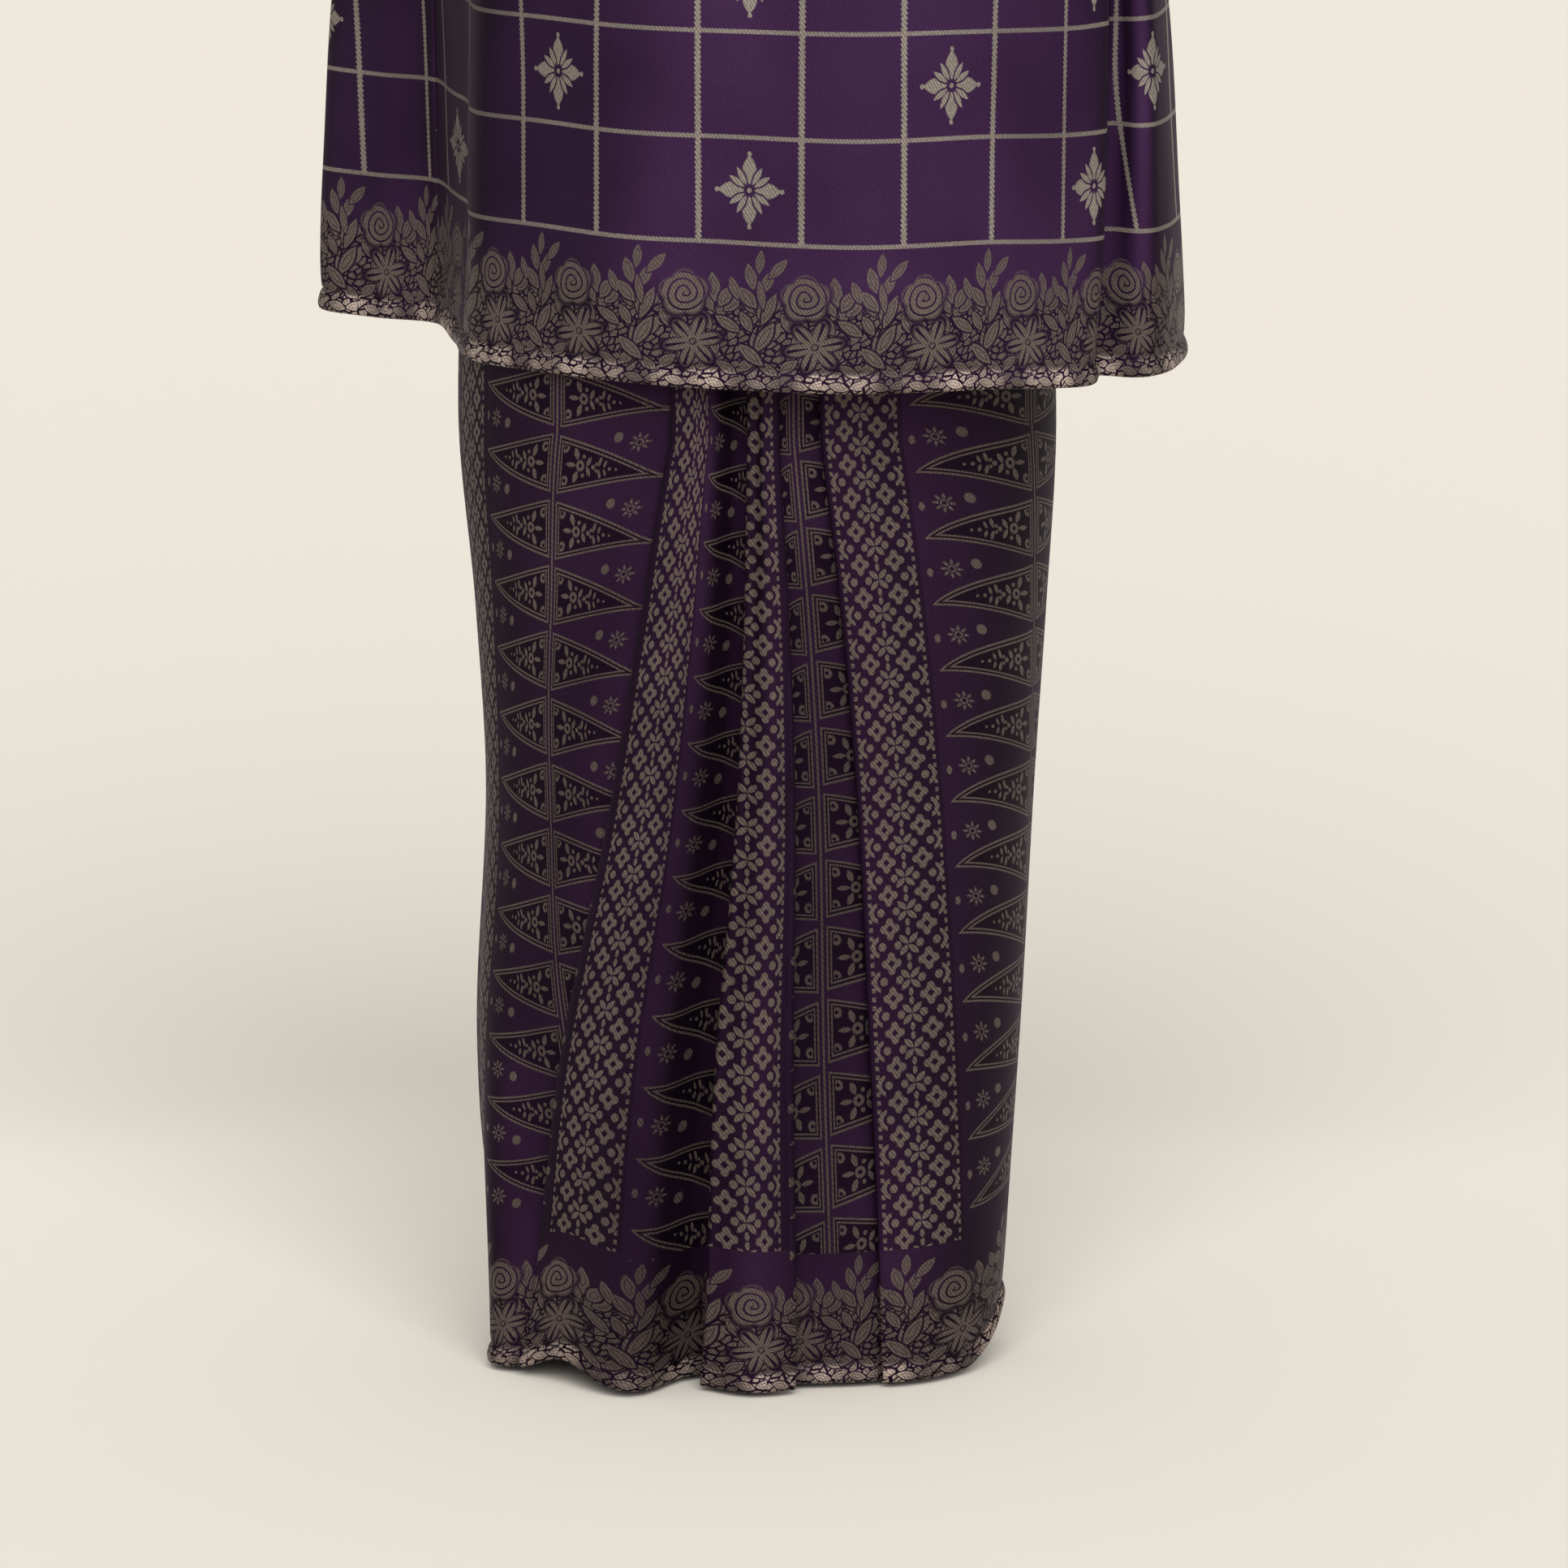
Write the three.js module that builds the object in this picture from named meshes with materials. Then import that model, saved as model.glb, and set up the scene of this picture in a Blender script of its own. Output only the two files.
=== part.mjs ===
// A baju kurung: a loose tunic with side gores, underarm gussets and straight sleeves,
// over an ankle-length skirt cloth laid in front pleats. The garment is filled out and hollow.
// Millimetres, +Z up, the front faces -Y, and the wearer's left is at +X.
// Heights are worked out above the skirt's hem and moved down by NECK_HEIGHT at the end,
// so the origin lies in the neck opening, level with the shoulder seams' inner ends.
import * as THREE from "three";

// Driving dimensions
const NECK_HEIGHT = 1390; // from the skirt's hem up to the neck end of the shoulder seam
const TUNIC_HEM = 690; // height of the tunic's hem
const GUSSET_LOW = 1000; // height where a gore ends and its gusset starts
const ARMPIT = 1100; // height of the armhole's lowest edge
const SHOULDER_TIP = 1320; // height of the armhole's highest point
const HALF_BODY = 225; // half the body panels' width at the armhole
const ARMHOLE_MID = 1210; // height at which the armhole is widest
const ARMHOLE_DEPTH = 75; // half the armhole's width at that height
const GUSSET_HALF = 45; // half the gusset's width along the armhole's foot
const CHEST_FRONT = 130; // how far the front panel stands forward at the armpit's height
const CHEST_BACK = 112; // and the back panel behind
const UPPER_FRONT = 84; // the same at the shoulder tip's height
const UPPER_BACK = 88;
const NECK_HALF = 82; // half the neck opening's width
const NECK_DROP_FRONT = 92; // how far the neckline dips in front
const NECK_DROP_BACK = 24; // and behind
const SLIT_LENGTH = 85; // short slit below the front neckline
const SLIT_HALF = 4; // half its width at the top
const SHOULDER_ROUND = 110; // height over which a panel rounds over the shoulder
const FOOT_LIFT = 1.6; // how far the sleeve's foot lies above the gusset's upper edge
const SLEEVE_LENGTH = 535; // along the top fold
const SLEEVE_DROP = (33 * Math.PI) / 180; // the sleeve's angle below level
const CUFF_HALF_HIGH = 62;
const CUFF_HALF_DEEP = 44;
const WAIST = 1000; // height of the skirt cloth's upper edge
const WAISTBAND = 32; // the waistband's height
const WALL = 1.2; // thickness of the brocade
const BAND_WALL = 2.4; // the waistband's thickness, folded double
const SEAM = 0.3; // gap between two pieces where they are sewn
const REST_GAP = 0.8; // gap where the tunic's back lies on the skirt's seat

const CLOTH = 0x3a2a44;
const BAND = 0x33243c;

const TURN = Math.PI / 180;
const lerp = (a, b, t) => a + (b - a) * t;
const clamp = (v) => Math.min(1, Math.max(0, v));
const smooth = (v) => clamp(v) ** 2 * (3 - 2 * clamp(v));

// The skirt's plain section at several heights: an ellipse of half width and half depth.
const SKIRT_SECTIONS = [
  { height: 1000, halfWide: 138, halfDeep: 100, midX: 2, midY: 6 },
  { height: 900, halfWide: 172, halfDeep: 124, midX: 2, midY: 17 },
  { height: 830, halfWide: 190, halfDeep: 135, midX: 2, midY: 19 },
  { height: 650, halfWide: 198, halfDeep: 128, midX: 2, midY: 10 },
  { height: 516, halfWide: 189, halfDeep: 124, midX: 4, midY: 8 },
  { height: 384, halfWide: 182, halfDeep: 119, midX: 3, midY: 6 },
  { height: 219, halfWide: 179, halfDeep: 112, midX: -2, midY: 4 },
  { height: 54, halfWide: 171, halfDeep: 106, midX: -4, midY: 2 },
  { height: 0, halfWide: 168, halfDeep: 105, midX: -6, midY: 1 },
];

// Stations round the skirt, from the centre-back seam past the wearer's right to the front and on.
// angle is from the centre front in degrees; lift is how far the cloth stands out from the plain
// section. Top is at PLEAT_TOP, hem at the hem.
// At a turn the cloth doubles back: side 1 turns at the right, -1 at the left, and gap is the
// distance between the two layers, positive where the cloth goes on outside.
const PLEAT_TOP = 650;
const STATIONS = [
  { name: "back seam", angleTop: -180, angleHem: -180, liftTop: 0, liftHem: 0 },
  { name: "right back", angleTop: -138, angleHem: -146, liftTop: 0, liftHem: 0 },
  { name: "right side", angleTop: -98, angleHem: -112, liftTop: 0, liftHem: 0 },
  { name: "lattice 0", angleTop: -72, angleHem: -88, liftTop: 0, liftHem: 0 },
  { name: "panel A", angleTop: -41, angleHem: -70, liftTop: 0, liftHem: -6 },
  { name: "panel A end", angleTop: -19, angleHem: -56, liftTop: 1, liftHem: -12 },
  { name: "tuck 1", angleTop: -10, angleHem: -34, liftTop: 3, liftHem: -10, side: 1, gap: 5 },
  { name: "pleat 1", angleTop: -16, angleHem: -57, liftTop: 8.5, liftHem: -1, side: -1, gap: 6 },
  { name: "lattice 1", angleTop: -10.5, angleHem: -42, liftTop: 13, liftHem: 14 },
  { name: "panel B", angleTop: -7, angleHem: -27, liftTop: 9, liftHem: 28 },
  { name: "valley", angleTop: -2.5, angleHem: -11, liftTop: -6, liftHem: -11 },
  { name: "tuck 2", angleTop: 10, angleHem: 7.5, liftTop: -8, liftHem: -13, side: 1, gap: 5 },
  { name: "pleat 2", angleTop: -1.5, angleHem: -10, liftTop: 4, liftHem: 3, side: -1, gap: 9 },
  { name: "lattice 2", angleTop: 1.4, angleHem: 1.4, liftTop: 16, liftHem: 22 },
  { name: "brow", angleTop: 4.2, angleHem: 11, liftTop: 12.5, liftHem: 14, side: 1, gap: -5 },
  { name: "tuck 3", angleTop: 0.6, angleHem: 2.4, liftTop: 6.5, liftHem: 5, side: -1, gap: -5 },
  { name: "panel C", angleTop: 5, angleHem: 12.5, liftTop: 3, liftHem: 0 },
  { name: "panel C end", angleTop: 11, angleHem: 30, liftTop: 1, liftHem: 4 },
  { name: "tuck 4", angleTop: 19.5, angleHem: 41, liftTop: 3.5, liftHem: 4, side: 1, gap: 5 },
  { name: "pleat 4", angleTop: 12, angleHem: 32, liftTop: 9, liftHem: 9.5, side: -1, gap: 6 },
  { name: "lattice 3", angleTop: 19.4, angleHem: 43, liftTop: 12, liftHem: 14 },
  { name: "lattice 3 end", angleTop: 27, angleHem: 56, liftTop: 8, liftHem: 10 },
  { name: "panel D", angleTop: 66, angleHem: 96, liftTop: 0, liftHem: 0 },
  { name: "left side", angleTop: 96, angleHem: 120, liftTop: 0, liftHem: 0 },
  { name: "left back", angleTop: 140, angleHem: 150, liftTop: 0, liftHem: 0 },
  { name: "back seam again", angleTop: 180, angleHem: 180, liftTop: 0, liftHem: 0 },
];
const WAIST_PRESS = 0.5; // how far the pleats' lifts are pressed in at the waist
const FLUTES = 5; // soft flutes in the back half of the hem
const FLUTE_DEPTH = 13; // their depth at the hem
const HEM_RISE = 38; // how far the hem is drawn up at the wearer's left side

// The tunic's section at its hem, one row for each turn of the cloth, from the seam between the
// front panel and the gore at the wearer's right, along the front and back round.
const HEM_POINTS = [
  { name: "right front seam", x: -206, y: 62 },
  { name: "right turn", x: -208, y: 5 },
  { name: "right corner", x: -183, y: -56 },
  { name: "right thigh", x: -125, y: -102 },
  { name: "front right", x: -45, y: -146 },
  { name: "front", x: 55, y: -170 },
  { name: "front left", x: 150, y: -158 },
  { name: "left turn", x: 210, y: -130 },
  { name: "left front seam", x: 233, y: -98 },
  { name: "left lobe", x: 262, y: -108 },
  { name: "left tip", x: 289, y: -72 },
  { name: "left flank", x: 282, y: 0 },
  { name: "left back seam", x: 245, y: 80 },
  { name: "back left", x: 150, y: 140 },
  { name: "back", x: 20, y: 156 },
  { name: "back right", x: -110, y: 162 },
  { name: "right back seam", x: -215, y: 165 },
  { name: "right flank", x: -270, y: 142 },
  { name: "right tip", x: -291, y: 100 },
  { name: "right lobe", x: -255, y: 66 },
];
// Where each piece's share of that section starts and ends, as row numbers.
const HEM_SHARE = {
  front: { from: 0, to: 8 },
  leftGore: { from: 8, to: 12 },
  back: { from: 12, to: 16 },
  rightGore: { from: 16, to: 20 },
};
// How much of the hem's section is left at each height; the rest is the chest's.
const HEM_WEIGHT = [
  { height: 690, weight: 1 },
  { height: 800, weight: 0.94 },
  { height: 930, weight: 0.82 },
  { height: 1000, weight: 0.62 },
  { height: 1060, weight: 0.24 },
  { height: 1100, weight: 0 },
];

// One column of a table, at a height between its rows, eased from row to row.
function tableAt(rows, column, height) {
  const down = rows[0].height > rows[rows.length - 1].height;
  const list = down ? [...rows].reverse() : rows;
  if (height <= list[0].height) return list[0][column];
  for (let i = 1; i < list.length; i++) {
    if (height > list[i].height) continue;
    const t = (height - list[i - 1].height) / (list[i].height - list[i - 1].height);
    const before = list[Math.max(i - 2, 0)];
    const after = list[Math.min(i + 1, list.length - 1)];
    const span = list[i].height - list[i - 1].height;
    const slopeIn = ((list[i][column] - before[column]) / (list[i].height - before.height)) * span;
    const slopeOut =
      ((after[column] - list[i - 1][column]) / (after.height - list[i - 1].height)) * span;
    return (
      list[i - 1][column] * (2 * t ** 3 - 3 * t ** 2 + 1) +
      slopeIn * (t ** 3 - 2 * t ** 2 + t) +
      list[i][column] * (3 * t ** 2 - 2 * t ** 3) +
      slopeOut * (t ** 3 - t ** 2)
    );
  }
  return list[list.length - 1][column];
}

// A closed wall from a grid of points on its middle surface. Columns run anticlockwise seen from
// above and rows upwards, so the middle surface's normal points out. before and after hold the next
// piece's nearest column on each row, so that both walls turn alike at the seam between them.
function wallMesh(name, grid, { closed = false, before = [], after = [], wall = WALL, color = CLOTH }) {
  const rows = grid.length;
  const cols = grid[0].length;
  const beside = (i, j) => {
    if (closed) return grid[i][(j + cols) % cols];
    if (j < 0) return before[i] ?? grid[i][0];
    if (j >= cols) return after[i] ?? grid[i][cols - 1];
    return grid[i][j];
  };
  const normals = grid.map((row, i) =>
    row.map((_, j) => {
      const across = beside(i, j + 1).clone().sub(beside(i, j - 1));
      const up = grid[Math.min(rows - 1, i + 1)][j].clone().sub(grid[Math.max(0, i - 1)][j]);
      return across.cross(up).normalize();
    }),
  );
  if (!closed)
    for (const row of grid) {
      pullBack(row[0], row[1], SEAM / 2);
      pullBack(row[cols - 1], row[cols - 2], SEAM / 2);
    }
  const positions = [];
  for (const side of [1, -1])
    grid.forEach((row, i) =>
      row.forEach((point, j) => {
        const p = point.clone().addScaledVector(normals[i][j], (side * wall) / 2);
        positions.push(p.x, p.y, p.z);
      }),
    );
  const faces = [];
  const id = (side, i, j) => side * rows * cols + i * cols + (closed ? (j + cols) % cols : j);
  const quad = (a, b, c, d) => faces.push(a, b, c, a, c, d);
  const lastCol = closed ? cols : cols - 1;
  for (let i = 0; i < rows - 1; i++)
    for (let j = 0; j < lastCol; j++) {
      quad(id(0, i, j), id(0, i, j + 1), id(0, i + 1, j + 1), id(0, i + 1, j));
      quad(id(1, i, j), id(1, i + 1, j), id(1, i + 1, j + 1), id(1, i, j + 1));
    }
  for (let j = 0; j < lastCol; j++) {
    quad(id(1, 0, j), id(1, 0, j + 1), id(0, 0, j + 1), id(0, 0, j));
    quad(id(0, rows - 1, j), id(0, rows - 1, j + 1), id(1, rows - 1, j + 1), id(1, rows - 1, j));
  }
  if (!closed)
    for (let i = 0; i < rows - 1; i++) {
      quad(id(1, i, 0), id(0, i, 0), id(0, i + 1, 0), id(1, i + 1, 0));
      quad(id(0, i, cols - 1), id(1, i, cols - 1), id(1, i + 1, cols - 1), id(0, i + 1, cols - 1));
    }
  const geometry = new THREE.BufferGeometry();
  geometry.setAttribute("position", new THREE.Float32BufferAttribute(positions, 3));
  geometry.setIndex(faces);
  const mesh = new THREE.Mesh(
    geometry,
    new THREE.MeshStandardMaterial({ color, roughness: 0.6, metalness: 0 }),
  );
  mesh.name = name;
  return mesh;
}

// Draws an edge back from a seam by half the seam's gap, towards the next point of the grid.
function pullBack(point, next, by) {
  point.add(next.clone().sub(point).setLength(by));
}

// A closed curve through the hem's points, rounded evenly; at is a row number with a fraction.
function hemPoint(at) {
  const n = HEM_POINTS.length;
  const i = Math.floor(at);
  const t = at - i;
  const [a, b, c, d] = [-1, 0, 1, 2].map((k) => HEM_POINTS[(i + k + n) % n]);
  const axis = (k) =>
    0.5 *
    (2 * b[k] +
      (c[k] - a[k]) * t +
      (2 * a[k] - 5 * b[k] + 4 * c[k] - d[k]) * t ** 2 +
      (3 * b[k] - a[k] - 3 * c[k] + d[k]) * t ** 3);
  return { x: axis("x"), y: axis("y") };
}

// The section at the armpit: half ellipses front and back between two short straight sides.
function chestPoint(piece, f) {
  if (piece === "front") {
    const turn = lerp(-90, 90, f) * TURN;
    return {
      x: HALF_BODY * Math.sin(turn),
      y: -GUSSET_HALF - (CHEST_FRONT - GUSSET_HALF) * Math.cos(turn),
    };
  }
  if (piece === "back") {
    const turn = lerp(90, -90, f) * TURN;
    return {
      x: HALF_BODY * Math.sin(turn),
      y: GUSSET_HALF + (CHEST_BACK - GUSSET_HALF) * Math.cos(turn),
    };
  }
  const left = piece === "leftGore";
  return {
    x: left ? HALF_BODY : -HALF_BODY,
    y: left ? lerp(-GUSSET_HALF, GUSSET_HALF, f) : lerp(GUSSET_HALF, -GUSSET_HALF, f),
  };
}

// How far behind the middle the skirt's outer face lies at a place across, for the seat to rest on.
function seatDepth(x, height) {
  const halfWide = tableAt(SKIRT_SECTIONS, "halfWide", height);
  const halfDeep = tableAt(SKIRT_SECTIONS, "halfDeep", height);
  const across = (x - tableAt(SKIRT_SECTIONS, "midX", height)) / halfWide;
  if (Math.abs(across) > 0.8 || height > WAIST) return -Infinity;
  return tableAt(SKIRT_SECTIONS, "midY", height) + halfDeep * Math.sqrt(1 - across ** 2);
}

// A point of the tunic below the armpit: f runs along the piece's share of the section.
function tunicPoint(piece, f, height) {
  const share = HEM_SHARE[piece];
  const low = hemPoint(lerp(share.from, share.to, f));
  const high = chestPoint(piece, f);
  const weight = tableAt(HEM_WEIGHT, "weight", height);
  const x = lerp(high.x, low.x, weight);
  let y = lerp(high.y, low.y, weight);
  if (piece === "back") y = Math.max(y, seatDepth(x, height) + WALL + REST_GAP);
  return new THREE.Vector3(x, y, height);
}

// Height of the shoulder line, level across the neck and falling to the shoulder tip.
function shoulderHeight(x) {
  const out = clamp((Math.abs(x) - NECK_HALF) / (HALF_BODY - NECK_HALF));
  return lerp(NECK_HEIGHT, SHOULDER_TIP, out);
}

// Height of a body panel's upper edge: the shoulder seam, the neckline and the slit.
function panelTop(x, front) {
  const across = Math.abs(x) / NECK_HALF;
  if (across >= 1) return shoulderHeight(x);
  const drop = front ? NECK_DROP_FRONT : NECK_DROP_BACK;
  const neckline = NECK_HEIGHT - drop * Math.sqrt(1 - across ** 2);
  if (!front || Math.abs(x) >= SLIT_HALF) return neckline;
  return neckline - SLIT_LENGTH * (1 - Math.abs(x) / SLIT_HALF);
}

// Half the armhole's width at a height.
function armholeHalf(height) {
  if (height <= ARMHOLE_MID) {
    const down = (ARMHOLE_MID - height) / (ARMHOLE_MID - ARMPIT);
    return ARMHOLE_DEPTH - (ARMHOLE_DEPTH - GUSSET_HALF) * down ** 2;
  }
  const up = clamp((height - ARMHOLE_MID) / (SHOULDER_TIP - ARMHOLE_MID));
  return ARMHOLE_DEPTH * Math.sqrt(1 - up ** 2);
}

// A point of a body panel above the armpit. The panel rounds over the shoulder to its seam.
function yokePoint(x, height, front) {
  const up = clamp((height - ARMPIT) / (SHOULDER_TIP - ARMPIT));
  const depth = front ? lerp(CHEST_FRONT, UPPER_FRONT, up) : lerp(CHEST_BACK, UPPER_BACK, up);
  const edge = height <= ARMHOLE_MID ? armholeHalf(height) : ARMHOLE_DEPTH;
  const below = clamp((shoulderHeight(x) - height) / SHOULDER_ROUND);
  const round = Math.sqrt(1 - (1 - below) ** 2);
  const cosine = Math.sqrt(Math.max(0, 1 - (x / HALF_BODY) ** 2));
  const y = round * (edge + (depth - edge) * cosine);
  return new THREE.Vector3(x, front ? -y : y, height);
}

// Even steps from a to b, both included.
const steps = (a, b, n) => Array.from({ length: n + 1 }, (_, i) => lerp(a, b, i / n));

// The share of a panel's width at which a distance across lies, at the armpit.
const shareAt = (x) => (Math.asin(x / HALF_BODY) / TURN + 90) / 180;

// The heights of the tunic's rows below the armpit; every piece uses the same ones.
const TUNIC_ROWS = [TUNIC_HEM, 740, 795, 850, 905, 955, GUSSET_LOW, 1030, 1064, ARMPIT];
const SIDE_COLUMNS = 10;

// The shares of a piece's width at which its columns lie, closer beside the neck and the slit.
function columnsOf(piece) {
  if (piece.endsWith("Gore")) return steps(0, 1, SIDE_COLUMNS);
  const near = piece === "front" ? [SLIT_HALF, 30, 56, 74, NECK_HALF] : [22, 44, 64, NECK_HALF];
  const half = near.map((x) => shareAt(x) - 0.5);
  const offsets = [...half, ...steps(half[half.length - 1], 0.5, 8).slice(1)];
  return [...offsets.map((v) => 0.5 - v).reverse(), 0.5, ...offsets.map((v) => 0.5 + v)];
}

const AROUND = ["front", "leftGore", "back", "rightGore"];

// A piece's column next to a seam, on each of the given rows: the one after the piece, or before.
function neighbourColumn(piece, after, heights) {
  const next = AROUND[(AROUND.indexOf(piece) + (after ? 1 : 3)) % 4];
  const shares = columnsOf(next);
  const f = after ? shares[1] : shares[shares.length - 2];
  return heights.map((height) => tunicPoint(next, f, height));
}

// A body panel from hem to shoulder: level rows below the armpit, and above it rows that close up
// towards the upper edge, evenly along the rounding.
function bodyPanel(name, front) {
  const piece = front ? "front" : "back";
  const shares = columnsOf(piece);
  const grid = TUNIC_ROWS.map((height) => shares.map((f) => tunicPoint(piece, f, height)));
  for (const v of steps(0, 1, 9).slice(1))
    grid.push(
      shares.map((f) => {
        const x = chestPoint(piece, f).x;
        const top = panelTop(x, front);
        return yokePoint(x, top - (top - ARMPIT) * (1 - v) ** 2, front);
      }),
    );
  grid[grid.length - 1].forEach((p) => {
    p.y += ((front ? -1 : 1) * (SEAM + WALL)) / 2;
  });
  const before = neighbourColumn(piece, false, TUNIC_ROWS);
  const after = neighbourColumn(piece, true, TUNIC_ROWS);
  return wallMesh(name, grid, { before, after });
}

// A side piece: the gore from the hem to the gusset, or the gusset from there to the armhole.
function sidePanel(name, piece, low, high) {
  const heights = TUNIC_ROWS.filter((height) => height >= low && height <= high);
  const grid = heights.map((height) =>
    columnsOf(piece).map((f) => tunicPoint(piece, f, height)),
  );
  const last = grid.length - 1;
  if (high === ARMPIT) grid[0].forEach((p, j) => pullBack(p, grid[1][j], SEAM / 2));
  else grid[last].forEach((p, j) => pullBack(p, grid[last - 1][j], SEAM / 2));
  const before = neighbourColumn(piece, false, heights);
  const after = neighbourColumn(piece, true, heights);
  return wallMesh(name, grid, { before, after });
}

const FOOT_SHARE = 0.12; // share of the armhole's outline that runs along its foot

// The armhole's outline, f from the foot's back corner up over the shoulder and down to its front
// corner, then along the foot; the sleeve's other rings follow the same steps round an ellipse.
function armholePoint(f) {
  if (f > 1 - FOOT_SHARE) {
    const across = (f - (1 - FOOT_SHARE)) / FOOT_SHARE;
    return { y: lerp(-GUSSET_HALF, GUSSET_HALF, across), z: ARMPIT + FOOT_LIFT };
  }
  const turn = lerp(-1, 1, f / (1 - FOOT_SHARE));
  const z =
    Math.abs(turn) > 0.5
      ? lerp(ARMHOLE_MID, ARMPIT + FOOT_LIFT, (Math.abs(turn) - 0.5) / 0.5)
      : ARMHOLE_MID + (SHOULDER_TIP - ARMHOLE_MID) * Math.cos(turn * Math.PI);
  return { y: (turn < 0 ? 1 : -1) * armholeHalf(z), z };
}

const SLEEVE_COLUMNS = 24;
const SLEEVE_RINGS = [0, 0.05, 0.16, 0.36, 0.58, 0.8, 1]; // shares of the sleeve's length
const LEAN_BY = 0.3; // share of the length by which the rings stand square to the sleeve
const ROUND_BY = 0.35; // share of the length by which the armhole's outline is an oval
const OVAL_STRETCH = 1.45; // how much taller than deep the oval is taken to be

// A sleeve: rings from the armhole to the cuff, turning square to the sleeve as they go out.
function sleeveGrid(side) {
  const start = HALF_BODY + WALL / 2 + SEAM;
  return SLEEVE_RINGS.map((along) => {
    const lean = SLEEVE_DROP * smooth(along / LEAN_BY);
    const topX = start + SLEEVE_LENGTH * along * Math.cos(SLEEVE_DROP);
    const topZ = SHOULDER_TIP - SLEEVE_LENGTH * along * Math.sin(SLEEVE_DROP);
    const row = [];
    for (let j = 0; j < SLEEVE_COLUMNS; j++) {
      const hole = armholePoint(j / SLEEVE_COLUMNS);
      const turn = Math.atan2(hole.z - ARMHOLE_MID, hole.y * OVAL_STRETCH);
      const cuffHigh = (Math.sin(turn) - 1) * CUFF_HALF_HIGH;
      const high = lerp(hole.z - SHOULDER_TIP, cuffHigh, along ** 0.8);
      const deepOval = Math.cos(turn) * lerp(ARMHOLE_DEPTH, CUFF_HALF_DEEP, along);
      const deep = lerp(hole.y, deepOval, smooth(along / ROUND_BY));
      const z = topZ + high * Math.cos(lean);
      const x = topX + high * Math.sin(lean);
      row.push(new THREE.Vector3(side * x, deep, z));
    }
    return side > 0 ? row : row.reverse();
  });
}

// The skirt's path round at one height: places as angle and lift, with the turns rounded.
function skirtPath(height) {
  const t = clamp((PLEAT_TOP - height) / PLEAT_TOP);
  const press = lerp(1, WAIST_PRESS, clamp((height - PLEAT_TOP) / (WAIST - PLEAT_TOP)));
  const radius = tableAt(SKIRT_SECTIONS, "halfDeep", height);
  const path = [];
  for (const s of STATIONS) {
    const angle = lerp(s.angleTop, s.angleHem, t);
    const lift = lerp(s.liftTop, s.liftHem, t) * press;
    if (!s.side) {
      path.push({ angle, lift, turn: false });
      continue;
    }
    const half = (s.gap * press) / 2;
    const back = (s.side * Math.abs(half)) / radius / TURN;
    path.push({ angle: angle - back, lift: lift - half, turn: true });
    path.push({ angle, lift, turn: true });
    path.push({ angle: angle - back, lift: lift + half, turn: true });
  }
  return path;
}

// Eases through four numbers, between the middle two, with knots spaced by the root of their
// distance so that a short step beside a long one never loops.
function eased(v, knots, t) {
  const [k0, k1, k2, k3] = knots;
  const at = lerp(k1, k2, t);
  const mix = (a, b, ka, kb) => (kb === ka ? a : lerp(a, b, (at - ka) / (kb - ka)));
  const a1 = mix(v[0], v[1], k0, k1);
  const a2 = mix(v[1], v[2], k1, k2);
  const a3 = mix(v[2], v[3], k2, k3);
  const b1 = mix(a1, a2, k0, k2);
  const b2 = mix(a2, a3, k1, k3);
  return mix(b1, b2, k1, k2);
}

// The flutes that stand in the back half of the skirt, growing towards the hem.
function flute(angle, height) {
  const behind = smooth((Math.abs(angle) - 80) / 35);
  const down = clamp(1 - height / 700) ** 1.3;
  return FLUTE_DEPTH * down * behind * Math.sin(FLUTES * 2 * angle * TURN + 0.6);
}

// How far the hem is drawn up at the wearer's left side, fading out by the knee.
function hemRise(angle) {
  return HEM_RISE * smooth((angle - 54) / 40) * (1 - smooth((angle - 110) / 60));
}

// A place of the skirt from its angle, lift and height.
function skirtPoint(angle, lift, height) {
  const turn = angle * TURN;
  const halfWide = tableAt(SKIRT_SECTIONS, "halfWide", height);
  const halfDeep = tableAt(SKIRT_SECTIONS, "halfDeep", height);
  const normal = new THREE.Vector2(Math.sin(turn) / halfWide, -Math.cos(turn) / halfDeep);
  normal.normalize().multiplyScalar(lift + flute(angle, height));
  const x = tableAt(SKIRT_SECTIONS, "midX", height) + halfWide * Math.sin(turn) + normal.x;
  const y = tableAt(SKIRT_SECTIONS, "midY", height) - halfDeep * Math.cos(turn) + normal.y;
  return new THREE.Vector3(x, y, height);
}

const SKIRT_STEP = 18; // longest step along a plain stretch of the skirt's section
const TURN_STEPS = 2; // steps between two points of a turn

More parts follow.
